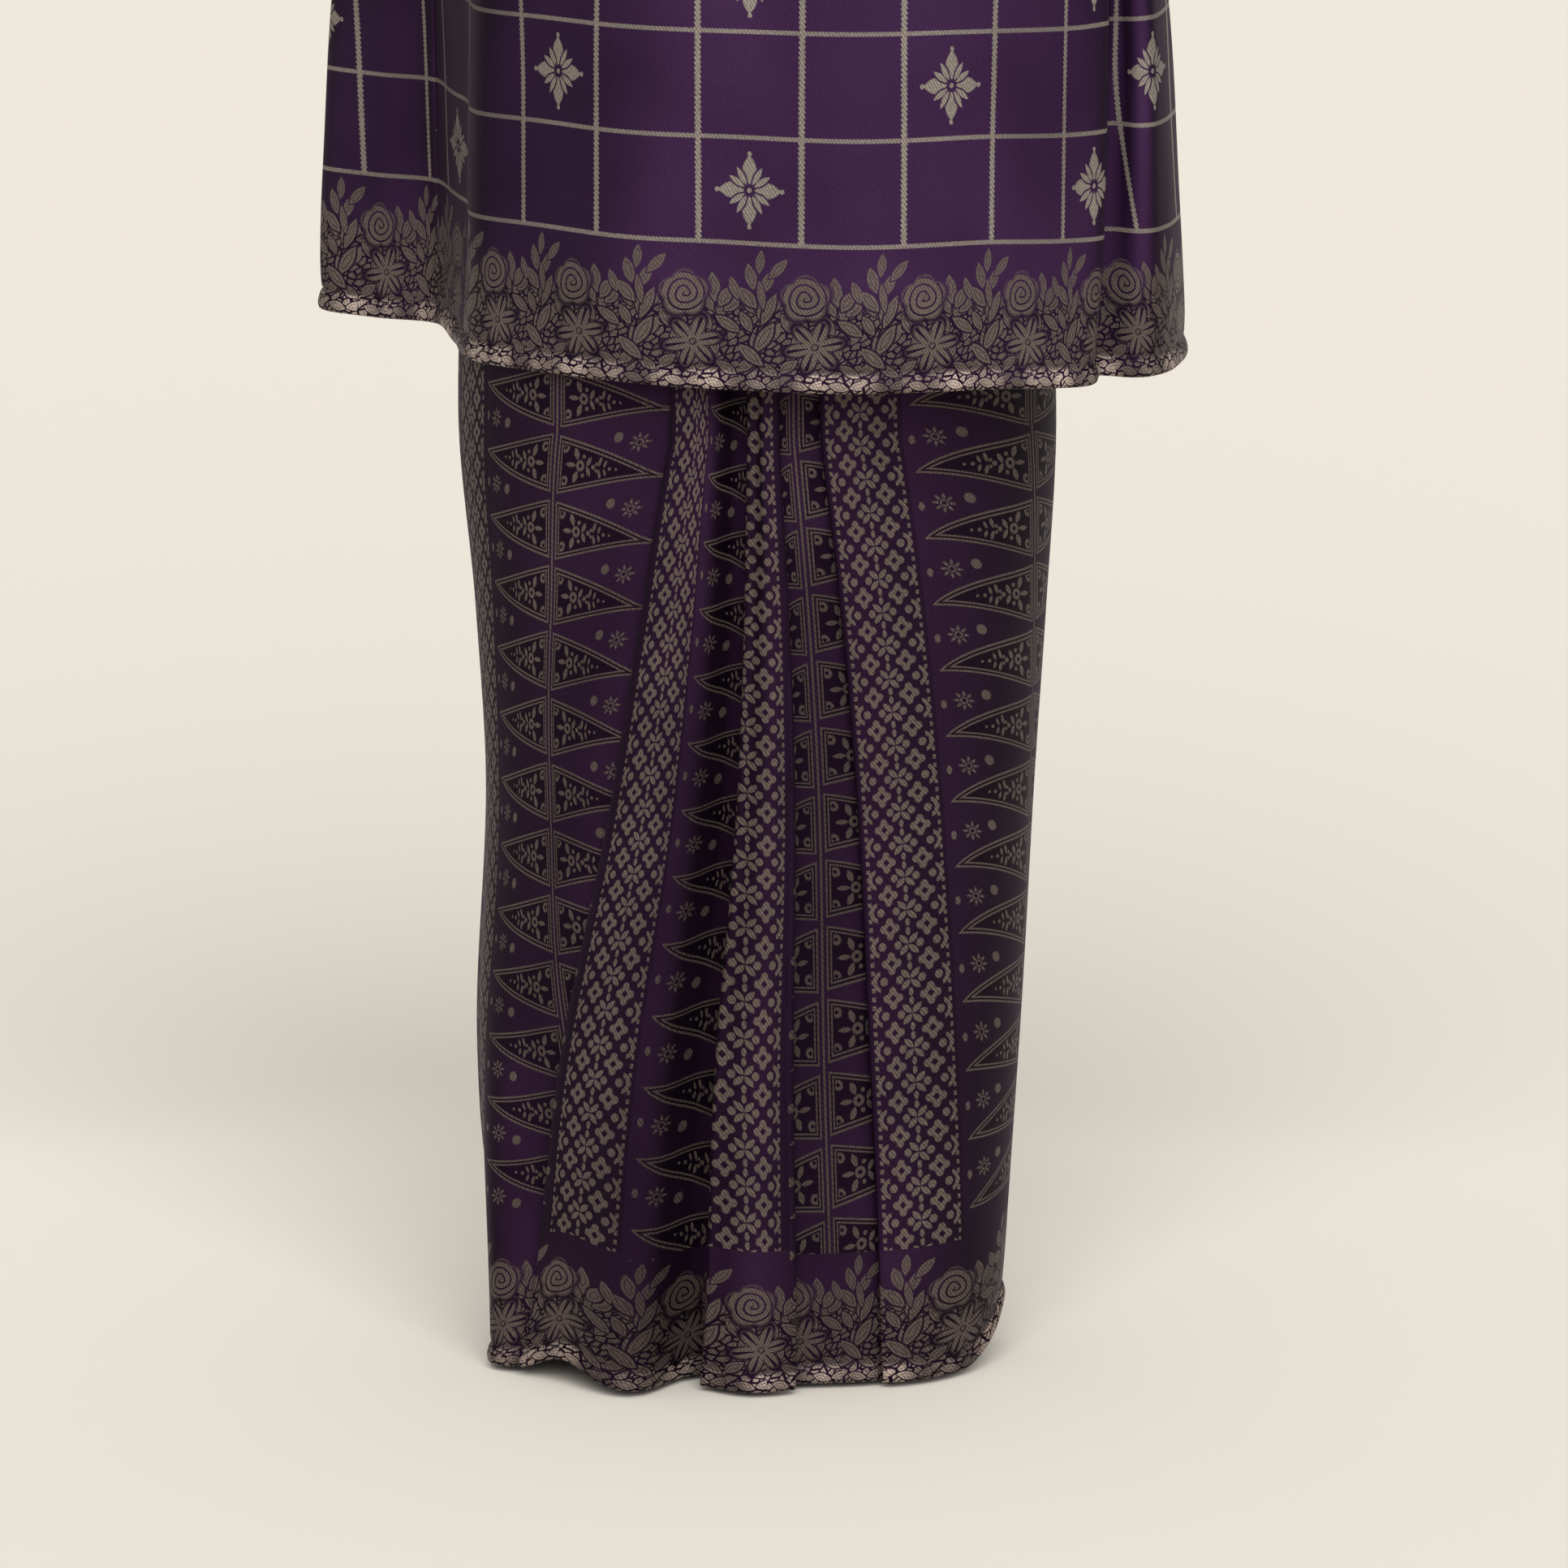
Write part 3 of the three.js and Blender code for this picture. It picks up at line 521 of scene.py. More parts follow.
def round_bell(lift, angle):
    """A bell round the skirt: its lift times the bell of the angle."""
    return lift["lift"] * bell(angle, lift["middle"], lift["wide"])


def hem_rise(angle):
    """A smooth rise and fall where the hem is drawn up at the wearer's left, and a small bell under
    the first pleat."""
    rise = smooth((angle - HEM_RISE["from"]) / HEM_RISE["rise"])
    fall = 1 - smooth((angle - HEM_RISE["till"]) / HEM_RISE["fall"])
    return HEM_RISE["lift"] * rise * fall + round_bell(PLEAT_RISE, angle)


def corner_lift(angle, height):
    """The cloth stands out at the wearer's right front towards the hem and falls in behind it: a
    bell less a lower one beside it, that fade out over CORNER_HIGH and half of it."""
    out = round_bell(CORNER_LIFT, angle) * smooth(1 - height / CORNER_HIGH)
    return out - round_bell(CORNER_TUCK, angle) * smooth(1 - 2 * height / CORNER_HIGH)


def on_section(angle, lift, height):
    """(mid + half size times sine and -cosine of the angle) + lift along the ellipse's normal."""
    turn = np.radians(angle)
    half_wide = table_at(SKIRT_SECTIONS, "half_wide", height)
    half_deep = table_at(SKIRT_SECTIONS, "half_deep", height)
    normal = np.stack([np.sin(turn) / half_wide, -np.cos(turn) / half_deep], -1)
    normal = normal / np.linalg.norm(normal, axis=-1, keepdims=True)
    x = table_at(SKIRT_SECTIONS, "mid_x", height) + half_wide * np.sin(turn) + normal[..., 0] * lift
    y = table_at(SKIRT_SECTIONS, "mid_y", height) - half_deep * np.cos(turn) + normal[..., 1] * lift
    return np.stack([x, y, height * np.ones_like(x)], -1)


def rolled(up, out, high):
    """The turned-up hem: a soft bulge, out sin(pi (up/high)^0.6), with a shallow stitched groove
    along its top."""
    bulge = out * np.sin(math.pi * clamp(up / high) ** 0.6)
    return bulge - STITCH["depth"] * bell(up - high, STITCH["above"], STITCH["wide"])


SKIRT_ROWS = np.concatenate([
    [0, 0.8, 2, 5, 8, 10, 11, 12, 13, 14.5, 18],
    steps(26, SKIRT_BORDER, 9),
    steps(102, WAIST - 1.2, 10.4),
    [WAIST],
])


def skirt_surface():
    """The skirt's grid: station paths eased round each height, lifted by the flutes, the corner, the
    ripple of the hanging cloth and the hem's turned edge. Returns the points, their place in the
    cloth, their height above the hem and the shade painted in its hollows."""
    path = skirt_path(SKIRT_ROWS)
    angle, lift, place = skirt_columns(*path, SKIRT_ROWS)
    height = SKIRT_ROWS[:, None]
    raised = height + hem_rise(angle) * (1 - clamp(height / HEM_RISE_HIGH)) ** 1.5
    settle = smooth(height / SETTLE) * smooth((WAIST - height) / SETTLE_WAIST)
    flare = rolled(height, SKIRT_FLARE, SKIRT_FLARE_HEIGHT)
    lift = lift + flute(angle, raised) + corner_lift(angle, raised)
    lift = lift + ripple(place, height, SKIRT_RIPPLE) * settle + flare
    points = on_section(angle, lift, raised)
    place = np.concatenate([place, np.full_like(height, STATIONS[-1]["cloth_top"])], axis=1)
    draw = table_at(ROW_DRAW, "up", place, along="cloth") * clamp(height / ROW_DRAW_FULL)
    # Painted shade in the skirt's hollows between its pleats.
    hollow = crease_depth(SKIRT_PAINTED_FOLD_SHADE, place[:, :-1], height)
    return points, np.stack([place, height - draw], -1), height + 0 * place, hollow


# ---------------------------------------------------------------- the tunic


def hem_point(at):
    """The closed uniform Catmull-Rom curve through the hem's points; at is a row number."""
    n = len(HEM_POINTS)
    xy = np.array([[row["x"], row["y"]] for row in HEM_POINTS], float)
    i = np.floor(at).astype(int)
    t = (at - i)[:, None]
    a, b, c, d = (xy[(i + k) % n] for k in (-1, 0, 1, 2))
    return 0.5 * (
        2 * b + (c - a) * t + (2 * a - 5 * b + 4 * c - d) * t**2 + (3 * b - a - 3 * c + d) * t**3
    )


def chest_point(piece, share):
    """The section at the armpit: half ellipses front and back between two short straight sides."""
    if piece in ("front", "back"):
        side, depth = (-1, CHEST_FRONT) if piece == "front" else (1, CHEST_BACK)
        turn = np.radians(mix(90 * side, -90 * side, share))
        x = HALF_BODY * np.sin(turn)
        y = side * (GUSSET_HALF + (depth - GUSSET_HALF) * np.cos(turn))
    else:
        side = 1 if piece == "left gore" else -1
        x = np.full_like(share, side * HALF_BODY)
        y = side * mix(-GUSSET_HALF, GUSSET_HALF, share)
    return np.stack([x, y], -1)


def seat_depth(x, height):
    """How far back the skirt's outer face lies at a place across, or far forward beside it."""
    half_wide = table_at(SKIRT_SECTIONS, "half_wide", height)
    across = (x - table_at(SKIRT_SECTIONS, "mid_x", height)) / half_wide
    beside = (np.abs(across) > SEAT_SHARE) | (height > WAIST)
    depth = table_at(SKIRT_SECTIONS, "half_deep", height) * np.sqrt(clamp(1 - across**2))
    return np.where(beside, FAR_FORWARD, table_at(SKIRT_SECTIONS, "mid_y", height) + depth)


def share_columns(piece):
    """Row numbers of the section at which a piece has its columns, close beside its seams and, on
    the front panel, beside the neck's slit."""
    share = SHARES[piece]
    knots = np.arange(share["from"], share["to"] + 1)
    ends = hem_point(knots.astype(float))
    pieces = []
    for k in range(len(knots) - 1):
        far = np.linalg.norm(ends[k + 1] - ends[k])
        pieces.append(steps(knots[k], knots[k + 1], CLOTH_STEP / far)[:-1])
    at = np.concatenate(pieces + [[knots[-1]]])
    extra = [share["from"] + COLUMN_SLIM, share["to"] - COLUMN_SLIM]
    if piece == "front":
        slit = math.degrees(math.asin(SLIT_HALF / HALF_BODY)) / 180 * (share["to"] - share["from"])
        middle = (share["from"] + share["to"]) / 2
        extra += [middle - slit * 1.4, middle - slit, middle + slit, middle + slit * 1.4]
    return np.unique(np.round(np.concatenate([at, extra]), 5))


TUNIC_ROWS = np.concatenate([
    TUNIC_HEM + np.array([0, 0.8, 2, 4, 7, 10, 12, 13, 14, 15, 16.5, 19, 24]),
    steps(TUNIC_HEM + 30, TUNIC_HEM + TUNIC_BORDER, 8),
    steps(TUNIC_HEM + TUNIC_BORDER + 8, GUSSET_LOW, 8.2),
    steps(GUSSET_LOW, ARMPIT, 8)[1:],
])


def tunic_ring():
    """The tunic below the armpit as one closed ring: chest + (hem - chest) weight(height), the back
    kept behind the skirt's seat, then moved along its normal by the creases, the ripple and the
    hem's flare. Returns the points and each piece's column range."""
    places, chest, ranges, start = [], [], {}, 0
    for piece, share in SHARES.items():
        at = share_columns(piece)
        ranges[piece] = (start, start + len(at))
        f = (at - share["from"]) / (share["to"] - share["from"])
        places.append(at[:-1])
        chest.append(chest_point(piece, f)[:-1])
        start += len(at) - 1
    at = np.concatenate(places)
    low = hem_point(at)[None]
    high = np.concatenate(chest)[None]
    height = TUNIC_ROWS[:, None]
    weight = table_at(HEM_WEIGHT, "weight", TUNIC_ROWS)[:, None, None]
    xy = mix(high, low, weight)
    start, end = ranges["back"]
    seat = seat_depth(xy[:, start:end, 0], height) + CAD_WALL + REST_GAP
    xy[:, start:end, 1] = np.maximum(xy[:, start:end, 1], seat)
    points = np.concatenate([xy, np.broadcast_to(height[..., None], xy.shape[:2] + (1,))], axis=2)
    normal = normals_of(points, closed=True)
    depth = crease_depth(TUNIC_CREASES, at[None, :], height)
    settle = smooth((height - TUNIC_HEM) / SETTLE) * smooth((ARMPIT - height) / SETTLE)
    back = (at >= SHARES["back"]["from"]) & (at <= SHARES["back"]["to"])
    depth = np.where(back[None, :], np.minimum(depth, 0.0), depth)
    flare = rolled(height - TUNIC_HEM, HEM_FLARE, HEM_FLARE_HEIGHT)
    waves = ripple(at[None, :] * ROW_CLOTH, height, TUNIC_RIPPLE) * settle
    move = -depth * smooth((ARMPIT - height) / 80) + waves + flare
    return points + normal * move[..., None], ranges


def ring_part(points, ranges, piece):
    """A piece's columns of the ring; the last piece closes on the ring's first column."""
    start, end = ranges[piece]
    index = np.arange(start, end) % points.shape[1]
    return points[:, index]


def tunic_cloth(piece, height):
    """Place in the cloth: the hem's and the chest's distances mixed by the section's weight, with
    the folds' share added between them, and the height above the hem."""
    share = SHARES[piece]
    at = share_columns(piece)
    knots = np.arange(share["from"], share["to"] + 1)
    hem, chest, fold = (
        np.interp(at, knots, share[name])[None, :] for name in ("hem_cloth", "chest_cloth", "fold_cloth")
    )
    weight = table_at(HEM_WEIGHT, "weight", height[:, 0])[:, None]
    between = smooth((height - TUNIC_HEM) / 220) * smooth((ARMPIT - height) / 150)
    up = (height - TUNIC_HEM) * np.ones_like(hem)
    return np.stack([mix(chest, hem, weight) + fold * between, up], -1)


def shoulder_height(x):
    """Level across the neck and falling straight to the shoulder tip."""
    return mix(NECK_HEIGHT, SHOULDER_TIP, clamp((np.abs(x) - NECK_HALF) / (HALF_BODY - NECK_HALF)))


def panel_top(x, front):
    """A body panel's upper edge: the shoulder seam, half an ellipse for the neck, and the slit."""
    across = np.abs(x) / NECK_HALF
    drop = NECK_DROP_FRONT if front else NECK_DROP_BACK
    neckline = NECK_HEIGHT - drop * np.sqrt(clamp(1 - across**2))
    slit = SLIT_LENGTH * clamp(1 - np.abs(x) / SLIT_HALF) if front else 0
    return np.where(across >= 1, shoulder_height(x), neckline - slit)


def armhole_half(height):
    """Half the armhole's width: a parabola down to the gusset, and an ellipse up to the shoulder."""
    down = (ARMHOLE_MID - height) / (ARMHOLE_MID - ARMPIT)
    up = clamp((height - ARMHOLE_MID) / (SHOULDER_TIP - ARMHOLE_MID))
    low = ARMHOLE_DEPTH - (ARMHOLE_DEPTH - GUSSET_HALF) * down**2
    return np.where(height <= ARMHOLE_MID, low, ARMHOLE_DEPTH * np.sqrt(1 - up**2))


def yoke_point(x, height, front):
    """A body panel above the armpit: an ellipse across, rounded by a quarter circle over the
    shoulder to its seam."""
    up = clamp((height - ARMPIT) / (SHOULDER_TIP - ARMPIT))
    depth = mix(CHEST_FRONT, UPPER_FRONT, up) if front else mix(CHEST_BACK, UPPER_BACK, up)
    edge = np.where(height <= ARMHOLE_MID, armhole_half(height), ARMHOLE_DEPTH)
    below = clamp((shoulder_height(x) - height) / SHOULDER_ROUND)
    rounding = np.sqrt(1 - (1 - below) ** 2)
    cosine = np.sqrt(clamp(1 - (x / HALF_BODY) ** 2))
    y = rounding * (edge + (depth - edge) * cosine)
    return np.stack([x * np.ones_like(height), -y if front else y, height], -1)


# Soft creases of the yoke: place is millimetres across, the rest as in TUNIC_CREASES.
YOKE_CREASES = table("name " + CREASE, [
    ("left drag", 118, 26, 15, 3.5, 1110, 1300),
    ("left drag, inner", 70, 18, 14, 2.5, 1120, 1280),
    ("right drag", -126, -24, 16, 4, 1110, 1310),
    ("right drag, inner", -80, -14, 13, 2.2, 1130, 1270),
])


def body_panel(front, ring, ranges):
    """The ring's share below the armpit, and above it rows that close up towards the upper edge
    as top - (top - armpit)(1 - v)^2, where the woven rows follow the length of the cloth. Returns
    the points, their place in the cloth and the shade painted in its hollows."""
    piece = "front" if front else "back"
    share = SHARES[piece]
    low = ring_part(ring, ranges, piece)
    at = share_columns(piece)
    x = chest_point(piece, (at - share["from"]) / (share["to"] - share["from"]))[:, 0]
    v = np.concatenate([np.linspace(0, 1, YOKE_ROWS)[1:-1], [0.992, 1.0]])[:, None]
    top = panel_top(x, front)[None, :]
    height = top - (top - ARMPIT) * (1 - v) ** 2
    yoke = yoke_point(np.broadcast_to(x[None, :], height.shape), height, front)
    normal = normals_of(yoke, closed=False)
    fade = smooth((top - height) / 40) * smooth((HALF_BODY - np.abs(x))[None, :] / 30)
    side = 1 if front else -1
    depth = crease_depth(YOKE_CREASES, side * x[None, :], height) * fade
    yoke = yoke - normal * depth[..., None]
    points = np.concatenate([low, yoke])
    points[-1, :, 1] += -SEAM if front else SEAM
    hollow = tunic_painted_fold_shade(at, points[..., 2])
    below = tunic_cloth(piece, TUNIC_ROWS[:, None])
    rise = np.linalg.norm(np.diff(points[len(low) - 1:], axis=0), axis=2)
    above = np.repeat(below[-1:], len(yoke), axis=0)
    above[..., 1] += np.cumsum(rise, axis=0)
    cloth = np.concatenate([below, above])
    return seam_gap(points), cloth, hollow


def tunic_painted_fold_shade(at, height):
    """The shade painted in the hollows at the columns' row numbers, none from the armpit on."""
    return crease_depth(TUNIC_PAINTED_FOLD_SHADE, at[None, :], height) * smooth((ARMPIT + 60 - height) / 120)


def seam_gap(points):
    """Draws the side edges of a grid back by half the seam's gap, towards the next column."""
    points = points.copy()
    for edge, beside in ((0, 1), (-1, -2)):
        way = points[:, beside] - points[:, edge]
        points[:, edge] += way / np.maximum(np.linalg.norm(way, axis=1, keepdims=True), 1e-6) * SEAM / 2
    return points


def side_piece(piece, ring, ranges, low, high):
    """The gore below the gusset, or the gusset between it and the armhole. Returns the points, their
    place in the cloth and the shade painted in its hollows."""
    rows = (TUNIC_ROWS >= low) & (TUNIC_ROWS <= high)
    points = seam_gap(ring_part(ring, ranges, piece)[rows])
    if high == ARMPIT:
        points[0, :, 2] += SEAM / 2
    else:
        points[-1, :, 2] -= SEAM / 2
    hollow = tunic_painted_fold_shade(share_columns(piece), points[..., 2])
    return points, tunic_cloth(piece, TUNIC_ROWS[rows][:, None]), hollow


# Creases of a sleeve: place is the angle round it from the front, in degrees; low and high are
# distances from the shoulder in millimetres.
SLEEVE_CREASES = table("name " + CREASE, [
    ("armpit drag, front", -30, 20, 16, 6, 20, 260),
    ("armpit drag, lower", -62, 12, 14, 5, 30, 330),
    ("elbow fold", 12, -34, 15, 5, 180, 420),
    ("elbow fold, lower", -40, -26, 15, 5, 230, 480),
    ("back drag", 205, -18, 17, 6, 30, 300),
    ("back fold", 160, 22, 16, 5, 220, 470),
    ("under fold", -90, 4, 13, 4, 60, 500),
])
SLEEVE_ROUND = 400.0  # the sleeve's girth that its cloth place is spread over
SLEEVE_FOLD = 0.44  # the share of the girth that lies before the top fold
SLEEVE_START = 20.0  # the cuff's place along the cloth


def armhole_point(f):
    """The armhole's outline: f from the foot's back corner over the shoulder to its front corner,
    then along the foot."""
    turn = mix(-1, 1, f / (1 - FOOT_SHARE))
    foot_height = ARMPIT + FOOT_LIFT
    straight = mix(ARMHOLE_MID, foot_height, (np.abs(turn) - 0.5) / 0.5)
    arch = ARMHOLE_MID + (SHOULDER_TIP - ARMHOLE_MID) * np.cos(turn * math.pi)
    z = np.where(np.abs(turn) > 0.5, straight, arch)
    y = np.where(turn < 0, 1, -1) * armhole_half(z)
    foot = f > 1 - FOOT_SHARE
    along = (f - (1 - FOOT_SHARE)) / FOOT_SHARE
    return np.where(foot, mix(-GUSSET_HALF, GUSSET_HALF, along), y), np.where(foot, foot_height, z)


def sleeve_surface(side):
    """Rings from the armhole to the cuff: the armhole's outline mixed into an oval that narrows to
    the cuff, each ring turned square to the sleeve as it goes out and creased along its normal."""
    along = np.concatenate([[0, 0.003], steps(0.012, 0.985, 0.0155), [0.997, 1.0]])[:, None]
    y, z = armhole_point(np.arange(SLEEVE_COLUMNS) / SLEEVE_COLUMNS)
    y, z = y[None, :], z[None, :]
    lean = SLEEVE_DROP * smooth(along / LEAN_BY)
    turn = np.arctan2(z - ARMHOLE_MID, y * OVAL_STRETCH)
    high = mix(z - SHOULDER_TIP, (np.sin(turn) - 1) * CUFF_HALF_HIGH, along**0.8)
    deep = mix(y, np.cos(turn) * mix(ARMHOLE_DEPTH, CUFF_HALF_DEEP, along), smooth(along / ROUND_BY))
    start = HALF_BODY + CAD_WALL / 2 + SEAM
    top_x = start + SLEEVE_LENGTH * along * math.cos(SLEEVE_DROP)
    top_z = SHOULDER_TIP - SLEEVE_LENGTH * along * math.sin(SLEEVE_DROP)
    points = np.stack([top_x + high * np.sin(lean), deep + 0 * lean, top_z + high * np.cos(lean)], -1)
    angle = np.degrees(np.arctan2(z - ARMHOLE_MID, -y)) * np.ones_like(along)
    angle = np.where(angle < -120, angle + 360, angle)
    depth = crease_depth(SLEEVE_CREASES, angle, along * SLEEVE_LENGTH)
    depth = depth * smooth(along / 0.12) * smooth((1 - along) / 0.1)
    around = np.arange(SLEEVE_COLUMNS + 1)[None, :] / SLEEVE_COLUMNS
    across = (around - SLEEVE_FOLD) * SLEEVE_ROUND
    cloth = np.stack(np.broadcast_arrays(across, SLEEVE_LENGTH * (1 - along) + SLEEVE_START), -1)
    points[..., 0] *= side
    if side < 0:
        points = points[:, ::-1]
        depth = depth[:, ::-1]
        cloth = cloth[:, ::-1]
    # The cuff comes first, so that the columns run anticlockwise and the rows upwards.
    points, depth, cloth = points[::-1], depth[::-1], cloth[::-1]
    normal = normals_of(points, closed=True)
    return points - normal * depth[..., None], cloth


def waistband_surface():
    """The skirt's waist section, a little proud, carried straight up for the band's height."""
    angle = np.arange(-180, 180, 2.5)
    ring = on_section(angle, np.full_like(angle, BAND_LIFT), np.full_like(angle, WAIST))
    top = WAIST + WAISTBAND
    height = np.concatenate([[WAIST + SEAM, WAIST + 1.2], steps(WAIST + 4, top - 4, 6), [top - 1.2, top]])
    points = np.repeat(ring[None], len(height), axis=0)
    points[..., 2] = height[:, None]
    place = np.linspace(0, BAND_LENGTH, len(angle) + 1)[None, :]
    cloth = np.stack(np.broadcast_arrays(place, height[:, None] - WAIST), -1)
    return points, cloth


# ---------------------------------------------------------------- patterns as node trees


class Value:
    """A number that varies over the cloth: a socket of a node tree, with arithmetic that adds Math
    nodes to it."""

    def __init__(self, tree, socket):
        self.tree = tree
        self.socket = socket

    def math(self, operation, *others):
        node = self.tree.nodes.new("ShaderNodeMath")
        node.operation = operation
        for i, value in enumerate((self, *others)):
            if isinstance(value, Value):
                self.tree.links.new(value.socket, node.inputs[i])
            else:
                node.inputs[i].default_value = value
        return Value(self.tree, node.outputs[0])

    def __add__(self, other):
        return self.math("ADD", other)

    def __sub__(self, other):
        return self.math("SUBTRACT", other)

    def __mul__(self, other):
        return self.math("MULTIPLY", other)

    def __truediv__(self, other):
        return self.math("DIVIDE", other)

    def __rsub__(self, other):
        return self.math("MULTIPLY_ADD", -1.0, other)

    def __abs__(self):
        return self.math("ABSOLUTE")

    def least(self, other):
        return self.math("MINIMUM", other)

    def most(self, other):
        return self.math("MAXIMUM", other)

    def fold(self, half):
        """Distance to the nearest multiple of twice half."""
        return self.math("PINGPONG", half)

    def above(self, limit):
        return self.math("GREATER_THAN", limit)

    def below(self, limit):
        return self.math("LESS_THAN", limit)

    def band(self, low, high):
        """1 where the value lies between low and high, with no soft edge."""
        return self.above(low).math("MULTIPLY", self.below(high))

    def inside(self, sharp=8.0, limit=1.0):
        """1 where the value is under limit, with a soft edge that is 1/sharp wide."""
        node = self.math("MULTIPLY_ADD", -sharp, sharp * limit + 0.5)
        node.socket.node.use_clamp = True
        return node


def point_of(x, y):
    """A vector from two values."""
    node = x.tree.nodes.new("ShaderNodeCombineXYZ")
    x.tree.links.new(x.socket, node.inputs[0])
    x.tree.links.new(y.socket, node.inputs[1])
    return Value(x.tree, node.outputs[0])


def placed(point, x, y, turn, long, wide):
    """The point seen from a motif at (x, y), turned by turn degrees, with its half sizes as units."""
    node = point.tree.nodes.new("ShaderNodeMapping")
    node.vector_type = "TEXTURE"
    point.tree.links.new(point.socket, node.inputs["Vector"])
    node.inputs["Location"].default_value = (x, y, 0)
    node.inputs["Rotation"].default_value = (0, 0, math.radians(turn))
    node.inputs["Scale"].default_value = (long, wide, 1)
    return Value(point.tree, node.outputs[0])


def parts_of(point):
    """The x and y of a vector."""
    node = point.tree.nodes.new("ShaderNodeSeparateXYZ")
    point.tree.links.new(point.socket, node.inputs[0])
    return Value(point.tree, node.outputs[0]), Value(point.tree, node.outputs[1])


def polar(x, y):
    """The angle and the distance of a point from its two coordinates."""
    return y.math("ARCTAN2", x), (x * x + y * y).math("SQRT")


LEAF = "x y turn long wide"


def leaf(point, x, y, turn, long, wide):
    """A pointed leaf: x^2 + |y| in its own units, 1 on its outline."""
    a, b = parts_of(placed(point, x, y, turn, long, wide))
    return a.math("MULTIPLY_ADD", a, abs(b))


def disc(point, x, y, radius, high=None):
    """A round spot: the distance from its middle in radii, 1 on its outline."""
    spot = placed(point, x, y, 0, radius, high or radius)
    node = spot.tree.nodes.new("ShaderNodeVectorMath")
    node.operation = "LENGTH"
    spot.tree.links.new(spot.socket, node.inputs[0])
    return Value(spot.tree, node.outputs["Value"])


def stamped(motif, shape, point, rows):
    """A motif and every row's shape, whichever is nearest: shape is leaf or disc, and a row holds
    its sizes by name."""
    for row in rows:
        motif = motif.least(shape(point, **row))
    return motif


def eyed(point, x, y, radius, eye):
    """A disc with a bare eye."""
    return disc(point, x, y, radius).most(2.0 - disc(point, x, y, eye))


def over(below, motif, gap=0.3):
    """A motif laid over others, with a bare outline of the ground round it."""
    return below.most((2 + gap) - motif).least(motif)


def star_motif(u, v):
    """Stars on two crossed lattices: each has four pointed petals with a stem and a dot, eight
    slim petals between and a dot in the middle. Folded into one eighth of a star."""
    half_wide, half_high = CHECK * 2, CHECK_ROW
    x = (u + CHECK / 2).fold(half_wide)
    y = (v - (CHECK_FIRST + CHECK_ROW / 2)).fold(half_high)
    other = (x / half_wide + y / half_high).above(1.0)
    x = abs(x - other * half_wide)
    y = abs(y - other * half_high) * 0.9
    point = point_of(x.most(y), x.least(y))
    star = leaf(point, 12.2, 0, 0, 8.6, 4.6)
    star = over(star, leaf(point, 8.4, 5.2, 32, 6.2, 1.8), 0.6)
    star = star.least(leaf(point, 18.6, 0, 0, 4.6, 1.0))
    star = star.least(disc(point, 21.8, 0, 1.5))
    return star.least(disc(point, 0, 0, 1.5)).inside(5.0)


def check_lines(u, v):
    """The tunic's check: a twisted line every CHECK across and a plainer one every CHECK_ROW up."""
    twist = (v * 1.9 + u * 1.3).math("SINE") * 0.5
    upright = (u.fold(CHECK / 2) + twist).inside(1.6, 1.9)
    level = (v - CHECK_FIRST).fold(CHECK_ROW / 2).inside(1.6, 1.45)
    return (upright * v.above(CHECK_FIRST)).most(level * 0.85)


def lattice_motif(u, v):
    """The lattice band: quatrefoils with dark eyes, crossed petals with dots at their sides, rings
    at the band's edges and a dashed line along each."""
    x = u.fold(LATTICE_REPEAT / 2)
    y = (v - ROW_START).fold(LATTICE_ROW / 2)
    y_mid = LATTICE_ROW / 2 - y
    point = point_of(x, y)
    other = point_of(x, y_mid)
    foil_x, foil_y = parts_of(placed(other, 11.6, 0, 0, 6.2, 7.2))
    foil_x, foil_y = abs(foil_x), abs(foil_y)
    lobes = point_of(foil_x.most(foil_y), foil_x.least(foil_y))
    motif = disc(lobes, 0.66, 0, 0.36).least(disc(lobes, 0, 0, 0.66))
    motif = motif.most(2.2 - (foil_x + foil_y) * 3.4)
    motif = motif.least(leaf(point, 3.0, 3.5, 49, 4.2, 1.9))
    motif = motif.least(disc(point, 6.9, 0, 2.3, 2.7))
    motif = motif.least(disc(point, 17.0, 0, 2.4, 2.8))
    ring = abs(disc(point, 17.6, 0, 5.0, 5.8) - 1.0) * 4.2
    motif = motif.least(ring.most(x.below(19.2) * 4.0))
    motif = motif.least(disc(other, 0, 3.0, 1.4, 2.6)).least(disc(other, 0, -3.0, 1.4, 2.6))
    dash = abs(x - 23.4) * 1.1
    dash = dash.most((y_mid * 0.9).fold(2.6) * 0.75)
    return motif.least(dash).inside(4.0)


# The leaves and dots along the sprig inside a triangle, from its flower on.
SPRIG_LEAVES = table(LEAF, [
    (-8.8, 0, 0, 4.8, 1.7), (-4.0, 8.0, 112, 4.6, 2.2), (7.6, 3.4, 62, 3.9, 1.7),
    (17.6, 4.4, 74, 3.8, 1.3), (22.0, 3.0, 70, 2.8, 1.1),
])
SPRIG_DOTS = table("x y radius", [
    (2.8, 6.4, 1.5), (11.8, 0, 1.7), (14.6, 2.2, 1.2), (26.0, 0, 1.3), (31.0, 0, 1.0),
])
SHOOT_WIDE = 43.0  # a triangle's width at its foot


